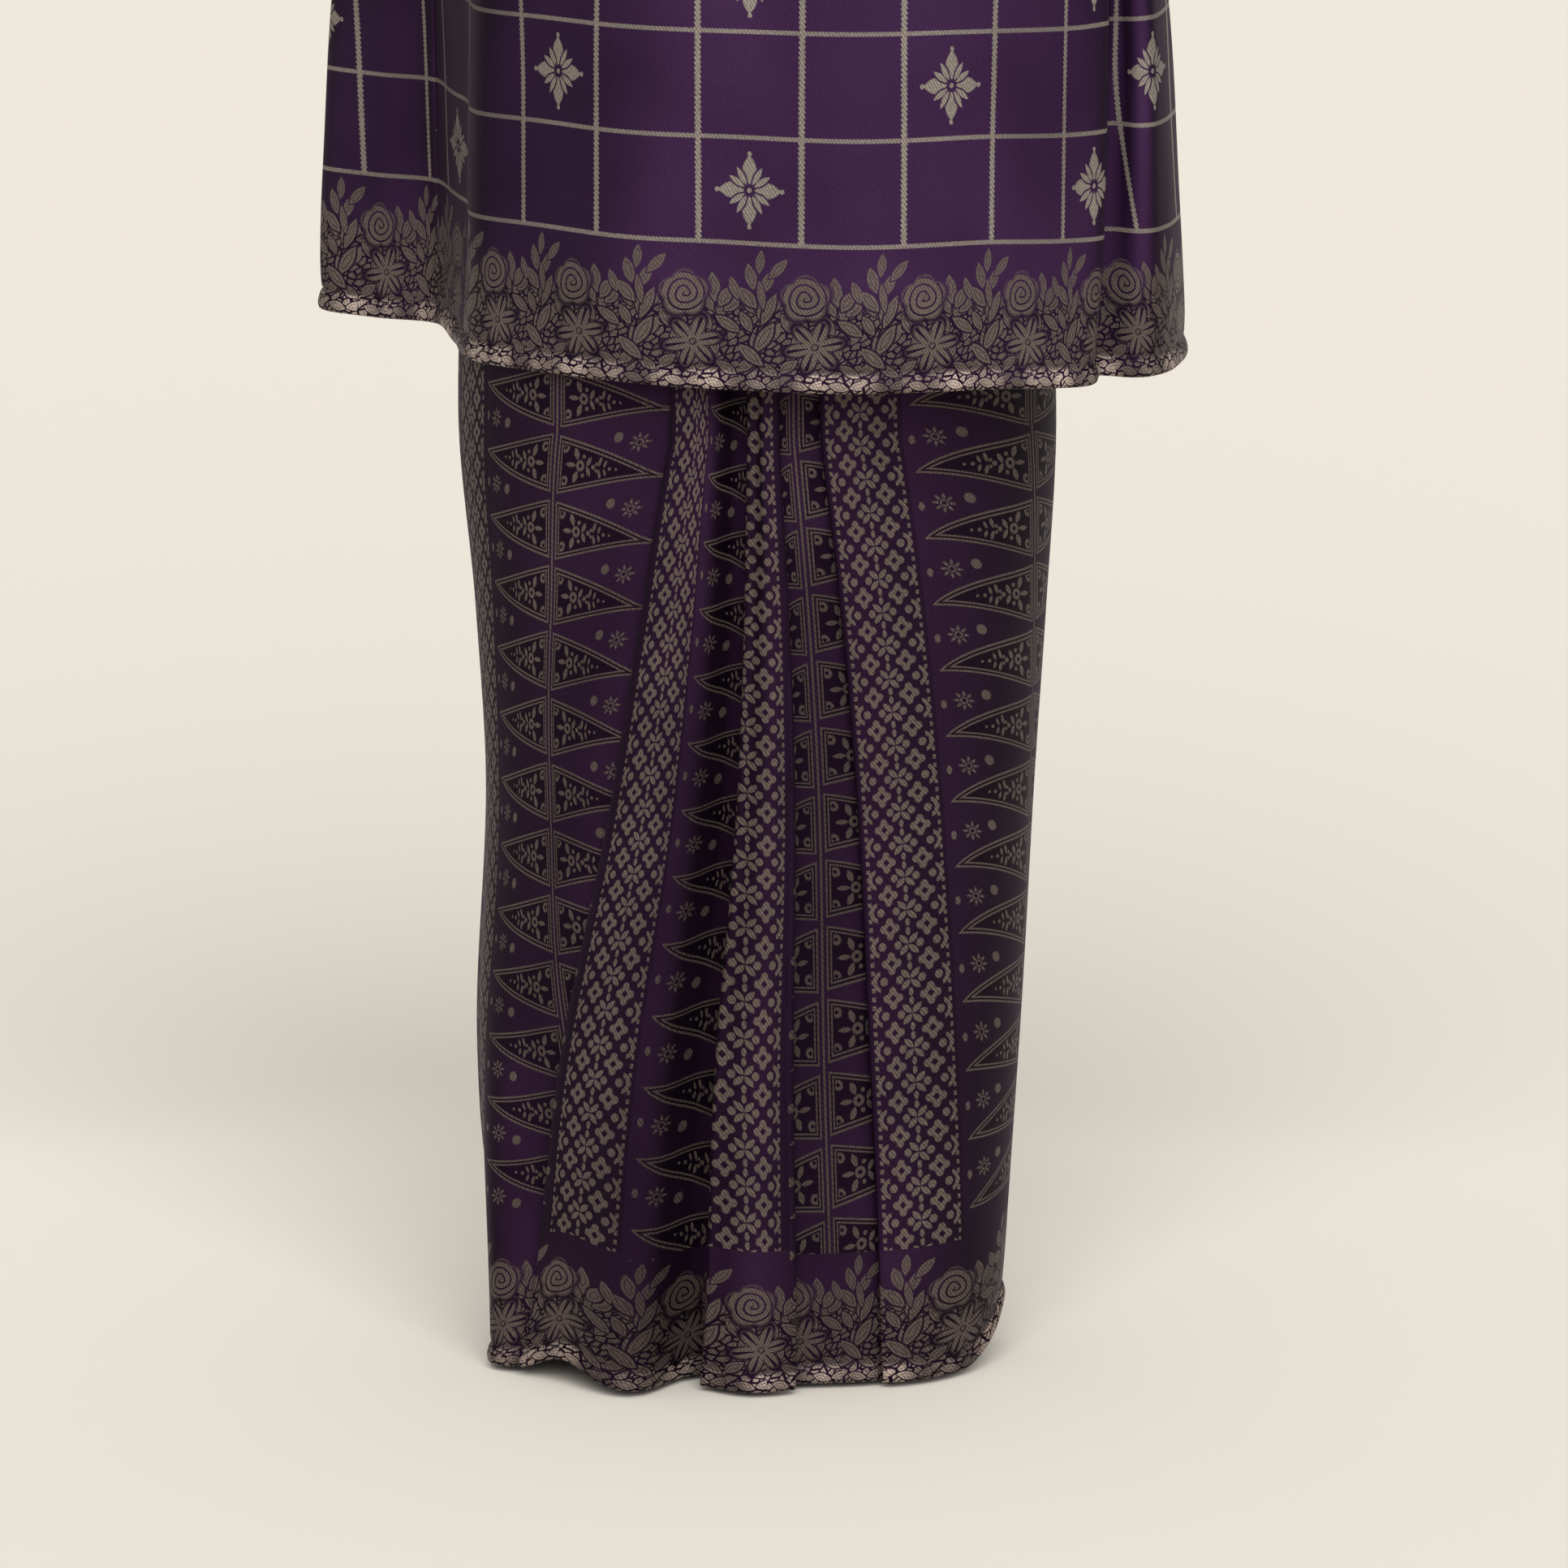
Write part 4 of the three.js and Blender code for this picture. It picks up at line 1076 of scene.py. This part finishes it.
def shoot_motif(u, v):
    """The bamboo-shoot panel: rows of triangles back to back on a triple line, each with a double
    outline, one straight and one curved side, small flowers inside, and spots between the tips.
    Returns the threads and the darker ground inside the triangles."""
    half = LATTICE_REPEAT / 2
    p = (abs(u) - half).math("WRAP", half, -half)
    outward = p.above(0.0)
    q = abs(p)
    m = (v - ROW_START).math("WRAP", SHOOT_ROW, 0.0)
    m = abs(m - outward * SHOOT_ROW)
    top = (1.0 - (q / SHOOT_LONG).least(1.0)).math("POWER", 0.7) * SHOOT_WIDE
    depth = (m - 1.4).least((top - m) * 0.86).least(q - 3.0)
    outline = (abs(depth - 0.7)).inside(1.8, 0.65).most((abs(depth - 3.2)).inside(1.8, 0.55))
    middle = q.inside(1.8, 0.8)
    point = point_of(q, m)
    inner = eyed(point, 9.6, 32.2, 3.5, 1.3).least(eyed(point, 9.6, 9.4, 3.5, 1.3))
    sprig = point_of(q - 24.0, abs(m + q * 0.24 - 23.4))
    inner = inner.least(eyed(sprig, 0, 0, 3.8, 1.5))
    inner = stamped(inner, leaf, sprig, SPRIG_LEAVES)
    inner = stamped(inner, disc, sprig, SPRIG_DOTS)
    inner = inner.inside(4.0) * depth.above(4.8)
    spots = disc(point, 54.0, 32.5, 3.4).least(disc(point, 81.5, 24.0, 1.7, 2.9))
    flower = placed(point, 69.0, 27.0, 0, 6.4, 6.4)
    angle, far = polar(*parts_of(flower))
    petal = far / ((angle * 8.0).math("COSINE") * 0.3 + 0.7)
    petal = petal.most(2.0 - far * 4.2).most((far - 0.45).band(-0.06, 0.06) * 2.0)
    spots = spots.least(petal).inside(4.0) * depth.below(-1.5)
    return outline.most(middle).most(inner).most(spots), depth.above(0.0)


# The floral border's leaves, in millimetres: place in the repeat, height, the way they point in
# degrees, half length and half width. The small ones come three times in each repeat.
SMALL_LEAVES = table(LEAF, [
    (-9, 17, 35, 8, 3.4), (5, 15, 150, 8, 3.2), (-3, 31, 100, 8, 3.2),
    (10, 40, 62, 7.5, 3.2), (-9, 46, 120, 7.5, 3.4), (2, 55, 78, 8.5, 3.6),
    (-8, 59, 118, 8, 3.4), (9, 57, 38, 7.5, 3.4), (12, 6, 12, 7, 2.8),
    (-2, 5, 168, 7, 2.8),
])
BORDER_LEAVES = table(LEAF, [
    (-35, 62, 132, 9, 4.2), (-21, 55, 66, 12, 3.4), (-33, 76, 104, 9, 3.8),
    (-22, 73, 62, 10, 3.4), (-27, 86, 84, 8, 3.0), (-15, 82, 48, 9, 3.2),
    (-26, 64, 98, 10, 2.6), (23, 68, 98, 10, 4.4), (31, 62, 58, 8, 4.0),
    (37, 68, 110, 8, 3.2), (33, 44, 150, 10, 3.6), (-24, 36, 58, 12, 4.2),
    (-33, 24, 140, 11, 4.0),
])


def wave_petals(point, count, deep):
    """A flower of count pointed petals in its own unit circle: the distance from its middle over
    1 - deep + deep |cos(count/2 angle)|, with a bare eye, and the petals' ribs."""
    angle, far = polar(*parts_of(point))
    turn = abs((angle * (count / 2)).math("COSINE"))
    petals = (far / (turn * deep + (1 - deep))).most(2.0 - far * 7.0)
    return petals, turn.above(0.975) * far.above(0.25)


def floral_border(u, v):
    """The hem border: a rolled rose, a six-petalled flower and curled leaves laid over each other,
    each with a dark outline and an inner line, filled between with small leaf cells."""
    x = u.math("WRAP", FLORAL_REPEAT / 2, -FLORAL_REPEAT / 2)
    point = point_of(x, v)
    small = point_of(u.math("WRAP", FLORAL_REPEAT / 6, -FLORAL_REPEAT / 6), v)
    cells = placed(point, 0, 0, 34, 7.6, 4.0)
    filler = cells.tree.nodes.new("ShaderNodeTexVoronoi")
    filler.voronoi_dimensions = "2D"
    filler.feature = "DISTANCE_TO_EDGE"
    filler.inputs["Scale"].default_value = 1.0
    filler.inputs["Randomness"].default_value = 0.85
    cells.tree.links.new(cells.socket, filler.inputs["Vector"])
    motif = 1.6 - Value(cells.tree, filler.outputs["Distance"]) * 4.2
    motif = motif.most(v - 56.0)
    for row in SMALL_LEAVES:
        motif = over(motif, leaf(small, **row), 0.34)
    for row in BORDER_LEAVES:
        motif = over(motif, leaf(point, **row), 0.36)
    lines = motif.band(0.40, 0.50)
    petals, ribs = wave_petals(placed(point, 9, 31, 12, 19, 17), 6, 0.62)
    lines = (lines * petals.above(1.2)).most(ribs * petals.below(1.0))
    motif = over(motif, petals, 0.26)
    turn, reach = polar(*parts_of(placed(point, 3, 63, 20, 15, 14)))
    rim = reach / (abs((turn * 2.5).math("COSINE")) * 0.2 + 0.88)
    spiral = (reach * 19.0 - turn + (turn * 3.0).math("SINE") * 0.5).math("SINE")
    lines = (lines * rim.above(1.1)).most(spiral.below(-0.66) * rim.below(0.97))
    motif = over(motif, rim, 0.2)
    return motif.inside(5.0).math("MULTIPLY", 1.0 - lines)


def noise(place, scale, detail):
    """A flat noise over the cloth: scale is its repeats for each millimetre."""
    node = place.tree.nodes.new("ShaderNodeTexNoise")
    node.noise_dimensions = "2D"
    node.inputs["Scale"].default_value = scale
    node.inputs["Detail"].default_value = detail
    place.tree.links.new(place.socket, node.inputs["Vector"])
    return Value(place.tree, node.outputs["Fac"])


GRAIN_SCALE = 0.55
CLOUD_SCALE = 0.013
AMOUNTS = ("Threads", "Shade", "Glow", "Painted Turn Shade", "Painted Fold Shade")  # the group's plain numbers


def songket_group():
    """A node group that turns a thread mask into brocade: colour with the hatch of the floating
    threads and a fine unevenness, darkened by painted shade in the folds' hollows and where the
    cloth turns away from the eye and brightened by the threads' glow, roughness, and a height for
    the bump."""
    tree = bpy.data.node_groups.new("songket_cloth", "ShaderNodeTree")
    sockets = tree.interface
    for name in AMOUNTS:
        sockets.new_socket(name=name, in_out="INPUT", socket_type="NodeSocketFloat")
    sockets.new_socket(name="Place", in_out="INPUT", socket_type="NodeSocketVector")
    for name in ("Thread Color", "Ground Color"):
        sockets.new_socket(name=name, in_out="INPUT", socket_type="NodeSocketColor")
    sockets.new_socket(name="Color", in_out="OUTPUT", socket_type="NodeSocketColor")
    for name in ("Roughness", "Height"):
        sockets.new_socket(name=name, in_out="OUTPUT", socket_type="NodeSocketFloat")
    enter = tree.nodes.new("NodeGroupInput")
    leave = tree.nodes.new("NodeGroupOutput")
    threads, shade, glow, painted_turn_shade, hollow = (Value(tree, enter.outputs[name]) for name in AMOUNTS)
    place = Value(tree, enter.outputs["Place"])
    u, v = parts_of(place)
    hatch = (u * 2.6 + v * 1.7).math("SINE")
    fine = noise(place, GRAIN_SCALE, 2.0)
    soft = noise(place, CLOUD_SCALE, 1.0)
    # Painted shade: ground and threads darken in the hollows between folds.
    painted_fold_light = 1.0 - hollow
    # Painted shade as the cloth turns away from the eye: the ground takes all of it and the threads a share.
    ground_light = (fine * 0.5 + 0.75) * (soft * 0.5 + 0.75) * (1.0 - shade) * painted_turn_shade * painted_fold_light
    thread_light = (hatch * 0.24 + 0.8) * (fine * 0.9 + 0.55) * (soft * 0.4 + 0.8) * glow
    thread_light = thread_light * (painted_turn_shade * THREAD_PAINTED_TURN_SHADE + (1 - THREAD_PAINTED_TURN_SHADE)) * painted_fold_light
    ground = tinted(tree, enter.outputs["Ground Color"], ground_light)
    thread = tinted(tree, enter.outputs["Thread Color"], thread_light)
    blend = tree.nodes.new("ShaderNodeMix")
    blend.data_type = "RGBA"
    tree.links.new(threads.socket, blend.inputs["Factor"])
    tree.links.new(ground, blend.inputs[6])
    tree.links.new(thread, blend.inputs[7])
    tree.links.new(blend.outputs[2], leave.inputs["Color"])
    rough = threads.math("MULTIPLY_ADD", -0.12, 0.6)
    tree.links.new(rough.socket, leave.inputs["Roughness"])
    height = hatch * 0.22 + fine * 0.8
    tree.links.new(height.socket, leave.inputs["Height"])
    return tree


def tinted(tree, color, light):
    """A colour times a lightness."""
    node = tree.nodes.new("ShaderNodeVectorMath")
    node.operation = "SCALE"
    tree.links.new(color, node.inputs[0])
    tree.links.new(light.socket, node.inputs["Scale"])
    return node.outputs[0]


TUNIC_THREAD = (0.285, 0.250, 0.212, 1)
BORDER_THREAD = (0.131, 0.105, 0.089, 1)
SKIRT_THREAD = (0.126, 0.098, 0.083, 1)
TUNIC_GROUND = (0.0420, 0.0165, 0.0550, 1)
SKIRT_GROUND = (0.0260, 0.0100, 0.0300, 1)
SHINE_TINT = (0.52, 0.3, 0.62, 1)
GLOSS = {
    "Specular IOR Level": 0.12,
    "Specular Tint": SHINE_TINT,
    "Sheen Weight": 0.03,
    "Sheen Roughness": 0.4,
    "Sheen Tint": SHINE_TINT,
}
BUMP_STRENGTH = 0.35
BUMP_DEPTH = 0.0004
LATTICE_SHADE = 0.35  # how much darker the ground is under the dense motifs
BORDER_SHADE = 0.66
SKIRT_EDGE_SCALE = 1.06
SKIRT_EDGE_GLOW = 0.82
PANEL_GLOW = 0.86
INSIDE_SHADE = 0.66
PAINTED_TURN_SHADE = 1.9  # painted shade: how fast the ground's colour darkens as it turns away from the eye
PAINTED_TURN_SHADE_LEAST = 0.3
THREAD_PAINTED_TURN_SHADE = 0.2  # the threads' share of that
HEM_PAINTED_HIGHLIGHT = 2.5  # painted highlight: how much brighter the rolled edge's threads are painted, where they would catch the light


def brocade(name, ground, thread, pattern, layer="Cloth"):
    """A brocade material: the pattern's threads, the ground's shade and the threads' glow, with
    painted shade where the cloth turns away from the eye and in its folds' hollows, through the
    shared group."""
    material = bpy.data.materials.new(name)
    material.use_nodes = True
    tree = material.node_tree
    shader = tree.nodes["Principled BSDF"]
    source = tree.nodes.new("ShaderNodeUVMap")
    source.uv_map = layer
    scale = tree.nodes.new("ShaderNodeVectorMath")
    scale.operation = "SCALE"
    scale.inputs["Scale"].default_value = 1 / MM
    tree.links.new(source.outputs[0], scale.inputs[0])
    place = Value(tree, scale.outputs[0])
    group = tree.nodes.new("ShaderNodeGroup")
    group.node_tree = SONGKET
    for socket, value in zip(("Threads", "Shade", "Glow"), pattern(*parts_of(place))):
        if isinstance(value, Value):
            tree.links.new(value.socket, group.inputs[socket])
        else:
            group.inputs[socket].default_value = value
    tree.links.new(place.socket, group.inputs["Place"])
    group.inputs["Thread Color"].default_value = thread
    group.inputs["Ground Color"].default_value = ground
    # Painted shade: the colour darkens as the cloth turns away from the eye, from the Layer Weight's Facing.
    facing = tree.nodes.new("ShaderNodeLayerWeight")
    facing.inputs["Blend"].default_value = 0.5  # Facing is then 1 less the cosine
    painted_turn_shade = (1.0 - Value(tree, facing.outputs["Facing"]) * PAINTED_TURN_SHADE).most(PAINTED_TURN_SHADE_LEAST)
    tree.links.new(painted_turn_shade.socket, group.inputs["Painted Turn Shade"])
    # Painted shade in the folds' hollows, read from the mesh's point attribute.
    hollow = tree.nodes.new("ShaderNodeAttribute")
    hollow.attribute_name = "Painted Fold Shade"
    tree.links.new(hollow.outputs["Fac"], group.inputs["Painted Fold Shade"])
    tree.links.new(group.outputs["Color"], shader.inputs["Base Color"])
    tree.links.new(group.outputs["Roughness"], shader.inputs["Roughness"])
    bump = tree.nodes.new("ShaderNodeBump")
    bump.inputs["Strength"].default_value = BUMP_STRENGTH
    bump.inputs["Distance"].default_value = BUMP_DEPTH
    tree.links.new(group.outputs["Height"], bump.inputs["Height"])
    tree.links.new(bump.outputs[0], shader.inputs["Normal"])
    for socket, value in GLOSS.items():
        shader.inputs[socket].default_value = value
    return material


def tunic_field(u, v):
    """The check and the stars."""
    return check_lines(u, v).most(star_motif(u, v)), 0.0, 1.0


def edge_field(u, v):
    """The floral border, with a painted highlight in patches of its rolled edge."""
    # Painted highlight along the rolled edge's lowest 12.5 mm, broken into patches.
    edge = v.inside(0.5, 12.5)
    highlight_patches = (u * 0.071).math("SINE") * 0.5 + (u * 0.19).math("SINE") * 0.35 + 0.55
    shade = v.inside(0.05, 62.0) * BORDER_SHADE
    return floral_border(u, v), shade, (edge * highlight_patches).most(0.0) * HEM_PAINTED_HIGHLIGHT + 1.0


def skirt_edge_field(u, v):
    """The floral border a little lower and duller than the tunic's, its rolled edge's painted highlight
    dulled alike.
    """
    threads, shade, glow = edge_field(u, v * SKIRT_EDGE_SCALE)
    return threads, shade, glow * SKIRT_EDGE_GLOW


def panel_field(u, v):
    """The bamboo-shoot panels, their ground darker inside the triangles; the rows end lower on the
    two front panels than on the sides."""
    threads, inside = shoot_motif(u, v)
    front = abs(u).below(LATTICE_REPEAT)
    lower = (v + front * SHOOT_ROW).above(ROW_START + SHOOT_ROW * BARE_ROWS_SIDE)
    shown = v.above(ROW_START + SHOOT_ROW * BARE_ROWS_FRONT) * lower
    return threads * shown, inside * shown * INSIDE_SHADE, PANEL_GLOW


def lattice_field(u, v):
    """The lattice bands on their dark ground, ending between two rows of the lattice."""
    shown = v.above(ROW_START + LATTICE_ROW * BARE_ROWS_LATTICE)
    return lattice_motif(u, v) * shown, shown * LATTICE_SHADE, 1.0


def plain_field(u, v):
    """No threads, on a ground that is a little shaded."""
    return 0.0, 0.1, 1.0


SONGKET = songket_group()
TUNIC_FIELD = brocade("tunic field, check and stars", TUNIC_GROUND, TUNIC_THREAD, tunic_field)
TUNIC_EDGE = brocade("tunic floral border", TUNIC_GROUND, BORDER_THREAD, edge_field)
SKIRT_PANEL = brocade("skirt bamboo-shoot panel", SKIRT_GROUND, SKIRT_THREAD, panel_field)
SKIRT_LATTICE = brocade("skirt lattice band", SKIRT_GROUND, SKIRT_THREAD, lattice_field)
SKIRT_EDGE = brocade("skirt floral border", SKIRT_GROUND, SKIRT_THREAD, skirt_edge_field, "Edge")
PLAIN = brocade("plain band cloth", SKIRT_GROUND, SKIRT_THREAD, plain_field)


def tunic_zone(u, v):
    return np.where(v < TUNIC_BORDER, 1, 0)


def skirt_zone(u, v):
    """0 for the bamboo-shoot panels, 1 for the lattice bands, 2 for the border."""
    off = np.abs((u + LATTICE_REPEAT / 2) % LATTICE_REPEAT - LATTICE_REPEAT / 2)
    return np.where(v < SKIRT_BORDER, 2, np.where(off < LATTICE_HALF + 4, 1, 0))


def no_zone(u, v):
    """0 everywhere."""
    return np.zeros_like(u)


# ---------------------------------------------------------------- the pieces

TUNIC_CLOTHS = [TUNIC_FIELD, TUNIC_EDGE]
ring, ring_ranges = tunic_ring()
pieces = {}


def tunic_piece(node, name, points, cloth, hollow):
    """A piece of the tunic with its check and border."""
    pieces[node] = cloth_mesh(name, points, cloth, TUNIC_CLOTHS, tunic_zone, hollow=hollow)


for name, front in (("front", True), ("back", False)):
    tunic_piece(f"tunic_{name}", f"{name}_panel", *body_panel(front, ring, ring_ranges))
for side in ("left", "right"):
    for name, low, high in (("gore", TUNIC_HEM, GUSSET_LOW), ("gusset", GUSSET_LOW, ARMPIT)):
        surface = side_piece(f"{side} gore", ring, ring_ranges, low, high)
        tunic_piece(f"{name}_{side}", f"{side}_{name}", *surface)
    surface = sleeve_surface(1 if side == "left" else -1)
    pieces[f"sleeve_{side}"] = cloth_mesh(f"{side}_sleeve", *surface, [TUNIC_FIELD], no_zone, closed=True)
skirt_points, skirt_cloth, skirt_edge, skirt_painted_fold_shade = skirt_surface()
SKIRT_CLOTHS = [SKIRT_PANEL, SKIRT_LATTICE, SKIRT_EDGE]
pieces["skirt"] = cloth_mesh(
    "skirt_cloth", skirt_points, skirt_cloth, SKIRT_CLOTHS, skirt_zone, closed=True,
    edge_height=skirt_edge, hollow=skirt_painted_fold_shade,
)
pieces["waistband"] = cloth_mesh(
    "waist_band", *waistband_surface(), [PLAIN], no_zone, closed=True, wall=BAND_WALL
)

# Each piece hangs from the root, and the model's part that it stands for is hidden.
for node, piece in pieces.items():
    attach(piece, "root")
    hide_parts(node)

# ---------------------------------------------------------------- studio

CAMERA_ELEVATION = math.radians(12)
CAMERA_DISTANCE = 10.0
VIEW_WIDTH = 1932 * 0.54 * MM  # the frame's pixels, at 0.54 mm each
VIEW_CENTRE = (0.0205, -0.125, -0.9727)
FLOOR_COLOR = (0.93, 0.877, 0.787, 1)
FLOOR_DROP = 0.004
FLOOR_REACH = 60.0
SKY_COLOR = (1.0, 0.98, 0.95, 1)
SKY_STRENGTH = 0.53
SUN_WAY = (-0.08, 1.0, -0.75)  # the way that its light goes
SUN_STRENGTH = 2.15
SUN_SPREAD = 45  # its size in the sky, in degrees

camera_data = bpy.data.cameras.new("camera")
camera_data.lens = camera_data.sensor_width * CAMERA_DISTANCE / VIEW_WIDTH
camera_data.clip_end = 200
camera = bpy.data.objects.new("camera", camera_data)
camera.location = (
    VIEW_CENTRE[0],
    VIEW_CENTRE[1] - CAMERA_DISTANCE * math.cos(CAMERA_ELEVATION),
    VIEW_CENTRE[2] + CAMERA_DISTANCE * math.sin(CAMERA_ELEVATION),
)
camera.rotation_euler = (math.pi / 2 - CAMERA_ELEVATION, 0, 0)
bpy.context.scene.collection.objects.link(camera)
bpy.context.scene.camera = camera

floor_mesh = bpy.data.meshes.new("floor")
floor_z = -NECK_HEIGHT * MM - FLOOR_DROP
floor_corners = [(x * FLOOR_REACH, y * FLOOR_REACH, floor_z) for x, y in ((-1, -1), (1, -1), (1, 1), (-1, 1))]
floor_mesh.from_pydata(floor_corners, [], [(0, 1, 2, 3)])
floor = bpy.data.objects.new("floor", floor_mesh)
bpy.context.scene.collection.objects.link(floor)
floor_material = bpy.data.materials.new("floor paper")
floor_material.use_nodes = True
floor_shader = floor_material.node_tree.nodes["Principled BSDF"]
for socket, value in (("Base Color", FLOOR_COLOR), ("Roughness", 0.9), ("Specular IOR Level", 0.1)):
    floor_shader.inputs[socket].default_value = value
floor_mesh.materials.append(floor_material)

world = bpy.data.worlds.new("studio")
bpy.context.scene.world = world
world.use_nodes = True
world.node_tree.nodes["Background"].inputs["Color"].default_value = SKY_COLOR
world.node_tree.nodes["Background"].inputs["Strength"].default_value = SKY_STRENGTH

sun_data = bpy.data.lights.new("key", "SUN")
sun_data.energy = SUN_STRENGTH
sun_data.angle = math.radians(SUN_SPREAD)
sun = bpy.data.objects.new("key", sun_data)
sun_rise = math.atan2(SUN_WAY[2], math.hypot(SUN_WAY[0], SUN_WAY[1]))
sun_turn = math.atan2(SUN_WAY[1], SUN_WAY[0])
sun.rotation_euler = (math.pi / 2 + sun_rise, 0, sun_turn - math.pi / 2)
bpy.context.scene.collection.objects.link(sun)

bpy.context.scene.view_settings.view_transform = "Standard"
bpy.context.scene.view_settings.look = "None"
